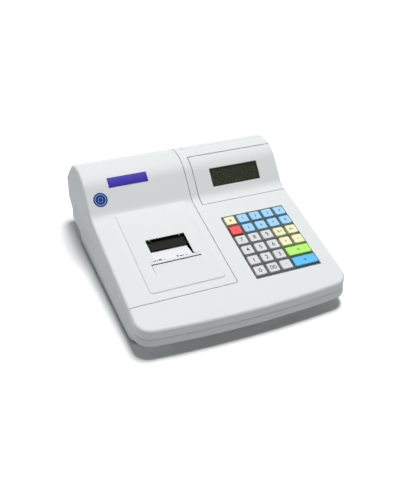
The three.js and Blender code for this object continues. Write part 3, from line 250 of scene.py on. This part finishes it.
def bevelled(piece, width, segments, turn):
    """Rounds the edges of a piece at which its faces turn by more than some degrees."""
    apply(
        piece, "BEVEL", width=width, segments=segments,
        limit_method="ANGLE", angle_limit=radians(turn),
    )


def shaded(piece, turn=40):
    """Smooth shading, with sharp edges where the faces turn by more than some degrees."""
    only(piece)
    bpy.ops.object.shade_smooth_by_angle(angle=radians(turn))
    apply(piece, "WEIGHTED_NORMAL", keep_sharp=True)


def merged(node, name):
    """A copy of a CAD node with its loose triangles joined."""
    piece = bpy.data.objects.new(name, frame["nodes"][node].data.copy())
    bpy.context.scene.collection.objects.link(piece)
    only(piece)
    bpy.ops.object.mode_set(mode="EDIT")
    bpy.ops.mesh.select_all(action="SELECT")
    bpy.ops.mesh.remove_doubles(threshold=0.000002)
    bpy.ops.mesh.dissolve_limited(angle_limit=radians(0.4))
    bpy.ops.object.mode_set(mode="OBJECT")
    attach(piece, frame["nodes"][node]["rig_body"])
    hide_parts(node)
    return piece


def softened(node, name, edge, turn=40, segments=2):
    """A merged copy of a CAD node whose edges are rounded as a mould leaves them."""
    piece = merged(node, name)
    bevelled(piece, edge, segments, turn)
    shaded(piece, turn)
    return piece


def painted(piece, finish):
    piece.data.materials.clear()
    piece.data.materials.append(finish.material)
    return piece


def toned(tone, share):
    return tuple(channel * share for channel in tone)


def case_plastic(name, tone):
    finish = Finish(name, Specular_IOR_Level=0.35)
    finish.set("Base Color", finish.mix(finish.noise(9.0, detail=3.0), toned(tone, 0.98), tone))
    finish.set("Roughness", 0.52 + 0.1 * finish.noise(55.0, detail=4.0))
    finish.bump(finish.noise(2600.0), distance=0.00003, strength=0.3)
    return finish


cover_grey = case_plastic("cover_plastic", (0.762, 0.788, 0.79))
tray_grey = case_plastic("tray_plastic", (0.76, 0.782, 0.79))
tray = painted(softened("base_tray", "tray_moulding", edge=0.0005), tray_grey)

# Belly screws: pan-head steel screws with cross recesses, driven up through the belly
# of the tray into the posts above it. Only their heads are made.
steel_tone = (0.55, 0.56, 0.57)
steel = Finish("steel", Base_Color=steel_tone, Metallic=1.0)
steel.set("Roughness", 0.24 + 0.16 * steel.noise(180.0, detail=3.0))
steel.bump(steel.noise(500.0), distance=0.00001, strength=0.4)


def edges_chosen(piece, wanted):
    """Opens a piece in edit mode with those edges selected whose ends are wanted."""
    only(piece)
    bpy.ops.object.mode_set(mode="EDIT")
    bpy.ops.mesh.select_all(action="DESELECT")
    bpy.ops.object.mode_set(mode="OBJECT")
    for edge in piece.data.edges:
        edge.select = wanted(*(piece.data.vertices[end].co for end in edge.vertices))
    bpy.ops.object.mode_set(mode="EDIT")


def fixed_in_place(piece):
    """Moves a piece's place, turn and scale into its mesh."""
    bpy.ops.object.mode_set(mode="OBJECT")
    only(piece)
    bpy.ops.object.transform_apply(location=True, rotation=True, scale=True)


def pan_head(name, radius, height):
    """A cross-recessed screw head that stands on z = 0."""
    bpy.ops.mesh.primitive_cylinder_add(
        vertices=32, radius=radius, depth=height, location=(0, 0, height / 2)
    )
    head = bpy.context.object
    head.name = name
    edges_chosen(head, lambda a, b: min(a.z, b.z) > 0)
    bpy.ops.mesh.bevel(offset=height * 0.6, segments=4, profile=0.5)
    fixed_in_place(head)
    blade_size = (radius * 1.25, radius * 0.24, height * 0.9)
    for turn in (0, 90):
        bpy.ops.mesh.primitive_cube_add(
            size=1, location=(0, 0, height), rotation=(0, 0, radians(turn)), scale=blade_size
        )
        blade = bpy.context.object
        apply(blade, "BEVEL", width=radius * 0.06, segments=1)
        apply(head, "BOOLEAN", object=blade, operation="DIFFERENCE", solver="EXACT")
        bpy.data.objects.remove(blade)
    painted(head, steel)
    shaded(head, turn=35)
    return head


def copied(piece, name, matrix, body):
    """A copy of a finished piece with its own mesh, put at a place."""
    copy = bpy.data.objects.new(name, piece.data.copy())
    bpy.context.scene.collection.objects.link(copy)
    copy.data.transform(matrix)
    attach(copy, body)
    return copy


sunk = 0.00005
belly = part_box("base_tray")[0].z
belly_screw_places = (
    (0.1326, -0.1325), (0.0151, -0.1325), (-0.118, -0.06), (-0.02, 0.02),
    (-0.118, 0.1), (0.118, 0.1), (0.0, 0.108),
)
belly_screw = pan_head("belly_screw", radius=0.0032, height=0.0011)
half_turn = Matrix.Rotation(pi, 4, "X")
for number, (x, y) in enumerate(belly_screw_places, 1):
    here = Matrix.Translation((x, y, belly + sunk)) @ half_turn
    copied(belly_screw, f"belly_screw_{number}", here, "housing")
bpy.data.objects.remove(belly_screw)

# Blank plate under the belly: a thin sheet of brushed aluminium with rounded corners,
# glued into place. It carries nothing.
plate_x, plate_y = 0.045, -0.02
plate_width, plate_length, plate_thickness = 0.07, 0.042, 0.0004
plate_metal = Finish("plate_metal", Base_Color=(0.72, 0.73, 0.73), Metallic=1.0, Roughness=0.38)
brushed = plate_metal.noise(160.0, stretch=(0.05, 1.0, 1.0))
plate_metal.bump(brushed, distance=0.00002, strength=0.5)
bpy.ops.mesh.primitive_cube_add(
    size=1, location=(plate_x, plate_y, belly + sunk - plate_thickness / 2),
    scale=(plate_width, plate_length, plate_thickness),
)
plate = bpy.context.object
plate.name = "blank_plate"
fixed_in_place(plate)
edges_chosen(plate, lambda a, b: (a.xy - b.xy).length < 0.00001)
bpy.ops.mesh.bevel(offset=0.003, segments=4)
bpy.ops.object.mode_set(mode="OBJECT")
bevelled(plate, width=0.0001, segments=1, turn=60)
painted(plate, plate_metal)
shaded(plate, turn=30)
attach(plate, "housing")

# Feet: four black rubber discs with rounded rims, pushed into the belly at its
# corners.
rubber = Finish("rubber", Base_Color=(0.02, 0.02, 0.021))
rubber.set("Roughness", 0.72 + 0.16 * rubber.noise(120.0, detail=3.0))
rubber.bump(rubber.noise(900.0, detail=3.0), distance=0.00005, strength=0.5)
for corner in ("front_left", "front_right", "rear_left", "rear_right"):
    foot = softened("foot_" + corner, "foot_" + corner + "_disc", edge=0.0007, segments=3)
    painted(foot, rubber)

# Battery pack: cells side by side in blue shrink sleeves, joined into one block that
# stands on the floor of the tray.
sleeve = Finish("cell_sleeve", Base_Color=(0.03, 0.08, 0.28), Roughness=0.3)
sleeve.bump(sleeve.noise(300.0), distance=0.00003, strength=0.4)
cells = softened("battery_pack", "battery_cells", edge=0.0008, segments=3)
painted(cells, sleeve)

# Main board: green laminate screwed to four standoffs. It carries a memory module and
# chips in black plastic, pale connectors, and capacitors in metal cans.
board_green = Finish("board_green", Roughness=0.35)
deep_green, bright_green = (0.012, 0.11, 0.04), (0.02, 0.16, 0.06)
patches = board_green.noise(70.0, detail=4.0)
board_green.set("Base Color", board_green.mix(patches, deep_green, bright_green))
board_green.bump(board_green.noise(700.0), distance=0.00002, strength=0.5)
painted(merged("main_board", "board_laminate"), board_green)
dark_tone = (0.018, 0.018, 0.017)
dark = Finish("dark_plastic", Base_Color=dark_tone, Specular_IOR_Level=0.25)
dark.set("Roughness", 0.56 + 0.16 * dark.noise(90.0, detail=3.0))
dark.bump(dark.noise(1800.0), distance=0.00003, strength=0.4)
painted(softened("memory_module", "memory_block", edge=0.0006), dark)
board_top = 0.0136
board_screw = pan_head("board_screw", radius=0.0028, height=0.0018)
corners = [(x, y) for y in (-0.0855, 0.1015) for x in (0.0191, 0.1286)]
for number, (x, y) in enumerate(corners, 1):
    here = Matrix.Translation((x, y, board_top + sunk))
    copied(board_screw, f"board_screw_{number}", here, "housing")
bpy.data.objects.remove(board_screw)


def softened_block(name, size, centre, finish, body, edge, matrix=None):
    """A rounded block: its size and centre, and the matrix of the face it stands on."""
    bpy.ops.mesh.primitive_cube_add(size=1, location=centre, scale=size)
    block = bpy.context.object
    block.name = name
    fixed_in_place(block)
    apply(block, "BEVEL", width=edge, segments=2)
    if matrix:
        block.data.transform(matrix)
    painted(block, finish)
    shaded(block, turn=45)
    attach(block, body)
    return block


solder_top = board_top + 0.0003
chips = (
    (0.052, -0.072, 0.022, 0.022, 0.0022),
    (0.052, -0.02, 0.012, 0.03, 0.003),
    (0.03, 0.035, 0.01, 0.026, 0.003),
    (0.06, 0.035, 0.018, 0.018, 0.0022),
    (0.11, 0.035, 0.01, 0.022, 0.003),
)
for number, (x, y, width, length, height) in enumerate(chips, 1):
    centre = (x, y, solder_top + height / 2)
    chip_size = (width, length, height)
    chip = softened_block(f"chip_{number}", chip_size, centre, dark, "housing", edge=0.0004)
nylon = Finish("nylon", Base_Color=(0.66, 0.64, 0.56), Roughness=0.45)
nylon.bump(nylon.noise(800.0), distance=0.00002, strength=0.3)
header_length, header_height = 0.006, 0.007
headers = ((0.07, -0.088, 0.02), (0.1, -0.088, 0.012), (0.035, 0.1, 0.024))
for number, (x, y, width) in enumerate(headers, 1):
    header_size = (width, header_length, header_height)
    centre = (x, y, solder_top + header_height / 2)
    header = softened_block(
        f"header_{number}", header_size, centre, nylon, "housing", edge=0.0006
    )
can_radius, can_height = 0.005, 0.012
can_y, can_seat = 0.075, board_top + 0.0002
bpy.ops.mesh.primitive_cylinder_add(
    vertices=32, radius=can_radius, depth=can_height, location=(0, 0, can_height / 2)
)
can = bpy.context.object
fixed_in_place(can)
bevelled(can, width=0.0007, segments=3, turn=60)
painted(can, steel)
shaded(can)
for number, x in enumerate((0.085, 0.099, 0.113), 1):
    here = Matrix.Translation((x, can_y, can_seat))
    copied(can, f"capacitor_{number}", here, "housing")
bpy.data.objects.remove(can)

# Printer: a black moulded frame with a rubber platen on a steel shaft, nylon gears, a
# small motor in a steel can and the thermal head.
axles = {joint["name"]: joint["pos_m"] for joint in frame["joints"] if "pos_m" in joint}
frame_black = Finish("printer_black", Base_Color=(0.008, 0.008, 0.006), Specular_IOR_Level=0.15)
frame_black.set("Roughness", 0.6 + 0.16 * frame_black.noise(90.0, detail=3.0))
frame_black.bump(frame_black.noise(1800.0), distance=0.00003, strength=0.4)
printer_body = softened("printer_frame", "printer_frame_moulding", edge=0.0004)
painted(printer_body, frame_black)
platen_rubber = Finish("platen_rubber")
_, y, z = platen_rubber.parts_of(platen_rubber.place())
_, platen_y, platen_z = axles["platen_spin"]
shaft_radius = 0.0023
shaft = ((y - platen_y) ** 2 + (z - platen_z) ** 2) < shaft_radius ** 2
platen_rubber.set("Base Color", platen_rubber.mix(shaft, (0.022, 0.022, 0.024), steel_tone))
platen_rubber.set("Metallic", shaft)
platen_rubber.set("Roughness", 0.7 - 0.4 * shaft)
platen = painted(softened("platen_roller", "platen_roller_rubber", edge=0.0004), platen_rubber)
for node in ("platen_gear", "motor_pinion"):
    gear = painted(merged(node, node + "_nylon"), nylon)
    shaded(gear, turn=20)
for node, edge in (("stepper_motor", 0.0008), ("thermal_head", 0.0004)):
    painted(softened(node, node + "_steel", edge), steel)

# Paper roll: thermal paper wound on a brown core, whose layers show at its ends. It
# lies loose in the cradle of the tray.
wound = Finish("wound_paper", Roughness=0.85)
_, y, z = wound.parts_of(wound.place())
_, roll_y, roll_z = axles["roll_spin"]
core_radius = 0.0066
from_axis = ((y - roll_y) ** 2 + (z - roll_z) ** 2) ** 0.5
in_core = from_axis < core_radius
layers = wound.node("Math", {"operation": "SINE"}, from_axis * 9000.0)
wound.set("Base Color", wound.mix(in_core, (0.86, 0.86, 0.87), (0.40, 0.30, 0.20)))
wound.bump(layers, distance=0.00006, strength=0.5)
painted(softened("paper_roll", "paper_roll_wound", edge=0.0003), wound)

# Receipt paper: the end of the roll, run over the platen, through the slot and under
# the tear bar, where the last receipt was torn off and left small nicks.
paper = Finish("paper", Base_Color=(0.82, 0.82, 0.87), Roughness=0.8)
paper.bump(paper.noise(1200.0, detail=4.0), distance=0.00002, strength=0.4)
strip = merged("receipt_paper", "receipt_strip")
deck_height, deck_slope = 0.074, radians(11)
deck_turn = Matrix.Rotation(deck_slope, 4, "X")
deck = Matrix.Translation((0, 0, deck_height)) @ deck_turn
torn_edge = -0.0571
below_deck = 0.0015
past_edge = 0.004
cut_height = 0.008
nicks = (
    (-0.0868, 0.0026, 0.0018), (-0.0836, 0.0016, 0.0011), (-0.0796, 0.0046, 0.0022),
    (-0.0742, 0.0018, 0.0011), (-0.0556, 0.0020, 0.0028), (-0.0502, 0.0060, 0.0012),
    (-0.0430, 0.0020, 0.0009),
)
for x, width, length in nicks:
    bpy.ops.mesh.primitive_cube_add(size=1, location=(0, 0, 0))
    nick = bpy.context.object
    nick.data.transform(Matrix.Diagonal((width, length + past_edge, cut_height, 1)))
    centre = (x, torn_edge + (length - past_edge) / 2, -below_deck)
    nick.data.transform(deck @ Matrix.Translation(centre))
    apply(strip, "BOOLEAN", object=nick, operation="DIFFERENCE", solver="EXACT")
    bpy.data.objects.remove(nick)
shaded(strip, turn=30)
painted(strip, paper)

# Covers: the fixed upper shell and the lifting lid, moulded in the same grey, with
# thin dark seams between them. The lid turns on a steel rod along the back.
for node, name in (("top_cover", "top_cover_moulding"), ("printer_cover", "lid_moulding")):
    painted(softened(node, name, edge=0.0006, segments=3), cover_grey)
painted(softened("lid_hinge_pin", "lid_hinge_rod", edge=0.0003), steel)

# Tear bar: a strip in the lid's grey, with fine teeth on the side of the window. It is
# fixed to the lid across the front of the window.
bar = painted(merged("tear_bar", "tear_bar_strip"), cover_grey)
shaded(bar, turn=20)

# Window clips: two small dark grey plastic tabs, fixed to the lid under the rear edge
# of the paper window.
clip_size = (0.0030, 0.0016, 0.0014)
clip_back, clip_rise = -0.0220, -0.0002
clip_grey = Finish("clip_plastic", Base_Color=(0.24, 0.25, 0.24), Roughness=0.5)
clip_grey.bump(clip_grey.noise(1200.0), distance=0.00002, strength=0.3)
for number, x in enumerate((-0.0828, -0.0409), 1):
    centre = (x, clip_back, clip_rise)
    clip = softened_block(
        f"window_clip_{number}", clip_size, centre, clip_grey, "printer_lid",
        edge=0.0004, matrix=deck,
    )

# Display inserts: two separate mouldings let into the front and back of the hump,
# each with a smoked window over a liquid crystal cell.
for node, name in (("display_bezel", "display_insert"), ("rear_display_cover", "rear_insert")):
    insert = softened(node, name + "_moulding", edge=0.0005, segments=3)
    painted(insert, cover_grey)
window = Finish(
    "smoked_window", Base_Color=(0.21, 0.26, 0.157), IOR=1.2, Transmission_Weight=0.9
)
window.set("Roughness", 0.05 + 0.02 * window.noise(60.0, detail=3.0))
for node in ("display_lens", "customer_lens"):
    painted(softened(node, node + "_plate", edge=0.0002), window)
cell = Finish("display_cell", Roughness=0.25)
cell.set("Base Color", cell.mix(cell.noise(30.0), (0.017, 0.028, 0.009), (0.021, 0.033, 0.012)))
for node in ("operator_lcd", "customer_lcd"):
    painted(softened(node, node + "_cell", edge=0.0002), cell)

# Keypad: a rubber mat on its own circuit board, under a dark grey frame with an
# opening for each key.
bezel_grey = Finish("bezel_plastic", Base_Color=(0.095, 0.098, 0.092), Specular_IOR_Level=0.3)
bezel_grey.set("Roughness", 0.45 + 0.12 * bezel_grey.noise(80.0, detail=3.0))
bezel_grey.bump(bezel_grey.noise(2200.0), distance=0.00003, strength=0.4)
key_frame = softened("keypad_bezel", "keypad_frame", edge=0.0002)
painted(key_frame, bezel_grey)
painted(softened("keypad_mat", "keypad_mat_rubber", edge=0.0003), rubber)
laminate = softened("keypad_board", "keypad_board_laminate", edge=0.0002)
painted(laminate, board_green)

# Keys: caps moulded in six colours with satin tops, each in its own opening of the
# frame.
tones = {
    "key_white": (0.72, 0.72, 0.74),
    "key_yellow": (0.90, 0.90, 0.56),
    "key_light_blue": (0.36, 0.66, 0.92),
    "key_red": (0.92, 0.075, 0.08),
    "key_green": (0.46, 0.90, 0.15),
    "key_blue": (0.10, 0.52, 0.93),
}
cap_finishes = {}
for slot, tone in tones.items():
    cap = Finish(slot + "_cap")
    cap.set("Base Color", cap.mix(cap.noise(60.0, detail=3.0), toned(tone, 0.96), tone))
    cap.set("Roughness", 0.36 + 0.1 * cap.noise(140.0, detail=3.0))
    cap.bump(cap.noise(2000.0), distance=0.00002, strength=0.4)
    cap_finishes[slot] = cap
slots = {row["node"]: row["material_slot"] for row in frame["record"]["subparts"]}
for node, slot in slots.items():
    if slot in cap_finishes:
        key = softened(node, node + "_cap", edge=0.0004, turn=25, segments=3)
        painted(key, cap_finishes[slot])

# Legends: a numeral or a plain arithmetic sign on each key, printed in dark ink. Each
# is given with the height of a numeral of its type, in millimetres.
ink = Finish("key_ink", Base_Color=(0.012, 0.012, 0.016), Roughness=0.5)
ink.bump(ink.noise(900.0), distance=0.00001, strength=0.3)
ink_gap = 0.00001
ink_thickness = 0.00002
stroke_growth = 0.0001
type_size_per_height = 0.00138
white_type, light_blue_type, yellow_type, green_type, blue_type = 6.9, 4.2, 4.4, 5.0, 6.5
legends = {
    "key_7": ("7", white_type), "key_8": ("8", white_type), "key_9": ("9", white_type),
    "key_4": ("4", white_type), "key_5": ("5", white_type), "key_6": ("6", white_type),
    "key_1": ("1", white_type), "key_2": ("2", white_type), "key_3": ("3", white_type),
    "key_0": ("0", white_type), "key_00": ("00", white_type), "key_point": (".", white_type),
    "key_yellow_1": ("#", yellow_type), "key_red": ("×", yellow_type),
    **{f"key_light_blue_{n}": (str(n), light_blue_type) for n in range(1, 9)},
    "key_yellow_2": ("%+", yellow_type), "key_yellow_3": ("%−", yellow_type),
    "key_yellow_4": ("+", yellow_type), "key_yellow_5": ("−", yellow_type),
    "key_green_wide": ("=", green_type), "key_blue_wide": ("*", blue_type),
}
deck_up = Vector((0, -sin(deck_slope), cos(deck_slope)))


def middle_of(points):
    lowest = Vector(min(point[axis] for point in points) for axis in range(3))
    highest = Vector(max(point[axis] for point in points) for axis in range(3))
    return (lowest + highest) / 2


def top_of(node):
    """The middle of a CAD node's highest face, measured square to the deck."""
    points = [point.co for point in frame["nodes"][node].data.vertices]
    highest = max(point.dot(deck_up) for point in points)
    return middle_of([point for point in points if highest - point.dot(deck_up) < 0.00001])


for node, (sign, height) in legends.items():
    bpy.ops.object.text_add(location=(0, 0, 0))
    legend = bpy.context.object
    legend.name = node + "_legend"
    legend.data.body = sign
    legend.data.size = height * type_size_per_height
    legend.data.extrude = ink_thickness
    legend.data.offset = stroke_growth
    legend.data.resolution_u = 3
    bpy.ops.object.convert(target="MESH")
    middle = middle_of([point.co for point in legend.data.vertices])
    centred = Matrix.Translation((-middle.x, -middle.y, ink_gap))
    legend.data.transform(Matrix.Translation(top_of(node)) @ deck_turn @ centred)
    painted(legend, ink)
    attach(legend, node)

# Violet strip: a bare blue-violet vinyl label, self-adhesive. Its lower edge lies on
# the flat face of the hump, and the rest follows the round above it.
hump_y, hump_z, hump_radius = 0.0978, 0.0763, 0.049
lean = radians(47)
strip_x = -0.0822
strip_width, strip_flat, strip_wrap = 0.0567, 0.00077, radians(15.95)
strip_gap, strip_thickness = 0.0001, 0.00012
vinyl = Finish("violet_vinyl", Roughness=0.5, Specular_IOR_Level=0.2)
violet, pale_violet = (0.040, 0.022, 0.375), (0.048, 0.028, 0.41)
vinyl.set("Base Color", vinyl.mix(vinyl.noise(40.0), violet, pale_violet))
vinyl.bump(vinyl.noise(400.0), distance=0.00002, strength=0.3)
strip_radius = hump_radius + strip_gap
edge_y = hump_y - strip_radius * sin(lean)
edge_z = hump_z + strip_radius * cos(lean)
flat_y = edge_y - strip_flat / 2 * cos(lean)
flat_z = edge_z - strip_flat / 2 * sin(lean)
bpy.ops.mesh.primitive_plane_add(size=1, location=(0, 0, 0))
violet_strip = bpy.context.object
violet_strip.name = "violet_strip"
violet_strip.data.transform(Matrix.Diagonal((strip_width, strip_flat, 1, 1)))
violet_strip.data.transform(Matrix.Rotation(lean, 4, "X"))
violet_strip.data.transform(Matrix.Translation((strip_x, flat_y, flat_z)))
edges_chosen(violet_strip, lambda a, b: min(a.z, b.z) > edge_z - 0.0001)
bpy.ops.mesh.spin(steps=12, angle=strip_wrap, center=(0, hump_y, hump_z), axis=(1, 0, 0))
bpy.ops.object.mode_set(mode="OBJECT")
apply(violet_strip, "SOLIDIFY", thickness=strip_thickness, offset=1)
painted(violet_strip, vinyl)
shaded(violet_strip, turn=30)
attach(violet_strip, "printer_lid")

# Round sticker: dark blue vinyl with two pale rings, self-adhesive, stuck on the flat
# face of the hump beside the strip.
sticker_place = (-0.12568, 0.0520, 0.09904)
sticker_radius, sticker_thickness, sticker_gap = 0.0098, 0.0002, 0.00002
outer_ring, inner_ring = (0.0068, 0.0078), (0.0030, 0.0037)
sticker_blue = Finish("sticker_blue", Roughness=0.5, Specular_IOR_Level=0.2)
on_sticker = sticker_blue.node(
    "Mapping", {"vector_type": "TEXTURE"}, sticker_blue.place(),
    Location=sticker_place, Rotation=(lean, 0, 0),
)
x, y, _ = sticker_blue.parts_of(on_sticker)
out = (x ** 2 + y ** 2) ** 0.5
outer, inner = ((out > start) * (out < end) for start, end in (outer_ring, inner_ring))
sticker_blue.set(
    "Base Color", sticker_blue.mix(outer + inner, (0.006, 0.028, 0.22), (0.30, 0.42, 0.66))
)
sticker_blue.bump(sticker_blue.noise(400.0), distance=0.00002, strength=0.3)
bpy.ops.mesh.primitive_cylinder_add(
    vertices=64, radius=sticker_radius, depth=sticker_thickness,
    location=(0, 0, sticker_gap + sticker_thickness / 2),
)
sticker = bpy.context.object
sticker.name = "round_sticker"
fixed_in_place(sticker)
bevelled(sticker, width=0.00006, segments=1, turn=60)
sticker.data.transform(Matrix.Translation(sticker_place) @ Matrix.Rotation(lean, 4, "X"))
painted(sticker, sticker_blue)
shaded(sticker, turn=30)
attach(sticker, "printer_lid")

# Power rocker: black plastic with a hollow face, snapped into the back wall. A line and
# a ring are printed on it in white.
rocker = softened("power_rocker", "power_rocker_cap", edge=0.0003, turn=30)
painted(rocker, dark)
white_ink = Finish("rocker_ink", Base_Color=(0.75, 0.75, 0.74), Roughness=0.6)
white_ink.bump(white_ink.noise(900.0), distance=0.00001, strength=0.3)
rocker_x = axles["rocker_tilt"][0]


def rocker_seat(y, z, tilt):
    """The matrix of a place on the rocker's face, whose tilt is given in degrees."""
    turned = Matrix.Rotation(pi, 4, "Z") @ Matrix.Rotation(radians(tilt), 4, "X")
    return Matrix.Translation((rocker_x, y, z)) @ turned


line_width, line_length, line_thickness = 0.0008, 0.0034, 0.0001
softened_block(
    "rocker_line", (line_width, line_length, line_thickness), (0, 0, line_thickness / 2),
    white_ink, "rocker", edge=0.00003, matrix=rocker_seat(y=0.1641, z=0.04025, tilt=111.8),
)
ring_radius, ring_stroke, ring_flatness = 0.0014, 0.0003, 0.3
bpy.ops.mesh.primitive_torus_add(
    major_segments=32, minor_segments=8, major_radius=ring_radius, minor_radius=ring_stroke,
    location=(0, 0, 0),
)
ring = bpy.context.object
ring.name = "rocker_ring"
ring.data.transform(Matrix.Diagonal((1, 1, ring_flatness, 1)))
ring.data.transform(rocker_seat(y=0.16319, z=0.03382, tilt=84.2))
painted(ring, white_ink)
shaded(ring)
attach(ring, "rocker")

# Low-voltage inlet: a black plastic body behind the back wall, with a steel sleeve in
# its bore and a steel pin in the middle.
inlet_low, inlet_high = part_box("dc_socket")
inlet_x, _, inlet_z = (inlet_low + inlet_high) / 2
pin_radius = 0.0013
inlet = Finish("inlet_plastic", Specular_IOR_Level=0.3)
x, _, z = inlet.parts_of(inlet.place())
pin = ((x - inlet_x) ** 2 + (z - inlet_z) ** 2) < pin_radius ** 2
inlet.set("Base Color", inlet.mix(pin, dark_tone, steel_tone))
inlet.set("Metallic", pin)
inlet.set("Roughness", 0.55 - 0.25 * pin)
inlet.bump(inlet.noise(1800.0), distance=0.00003, strength=0.4)
socket_body = softened("dc_socket", "dc_socket_moulding", edge=0.0002, turn=30)
painted(socket_body, inlet)
sleeve_radius, sleeve_length, sleeve_wall = 0.00314, 0.0052, 0.00025
sleeve_y = inlet_high.y - 0.0028
bpy.ops.mesh.primitive_cylinder_add(
    vertices=48, radius=sleeve_radius, depth=sleeve_length, end_fill_type="NOTHING",
    location=(inlet_x, sleeve_y, inlet_z), rotation=(radians(90), 0, 0),
)
tube = bpy.context.object
tube.name = "inlet_sleeve"
fixed_in_place(tube)
apply(tube, "SOLIDIFY", thickness=sleeve_wall, offset=-1)
bevelled(tube, width=0.00006, segments=1, turn=60)
painted(tube, steel)
shaded(tube)
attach(tube, "housing")

# Drawer or computer socket: a black plastic shell behind the back wall, with nine gold
# pins in two rows standing on the floor of its mouth.
shell = softened("interface_socket", "interface_socket_shell", edge=0.0003, turn=30)
painted(shell, dark)
port_low, port_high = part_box("interface_socket")
port_x, _, port_z = (port_low + port_high) / 2
contact_radius, contact_length = 0.0005, 0.0046
contact_y = port_high.y - 0.0038
contact_pitch, row_height = 0.00277, 0.00142
gold = Finish("gold_contact", Base_Color=(0.78, 0.56, 0.22), Metallic=1.0)
gold.set("Roughness", 0.25 + 0.1 * gold.noise(900.0))
bpy.ops.mesh.primitive_cylinder_add(
    vertices=16, radius=contact_radius, depth=contact_length,
    location=(0, 0, 0), rotation=(radians(90), 0, 0),
)
contact = bpy.context.object
fixed_in_place(contact)
bevelled(contact, width=0.00018, segments=2, turn=60)
painted(contact, gold)
shaded(contact)
rows = [(step, row_height) for step in (-2, -1, 0, 1, 2)]
rows += [(step, -row_height) for step in (-1.5, -0.5, 0.5, 1.5)]
for number, (step, height) in enumerate(rows, 1):
    here = Matrix.Translation((port_x + step * contact_pitch, contact_y, port_z + height))
    copied(contact, f"contact_{number}", here, "housing")
bpy.data.objects.remove(contact)
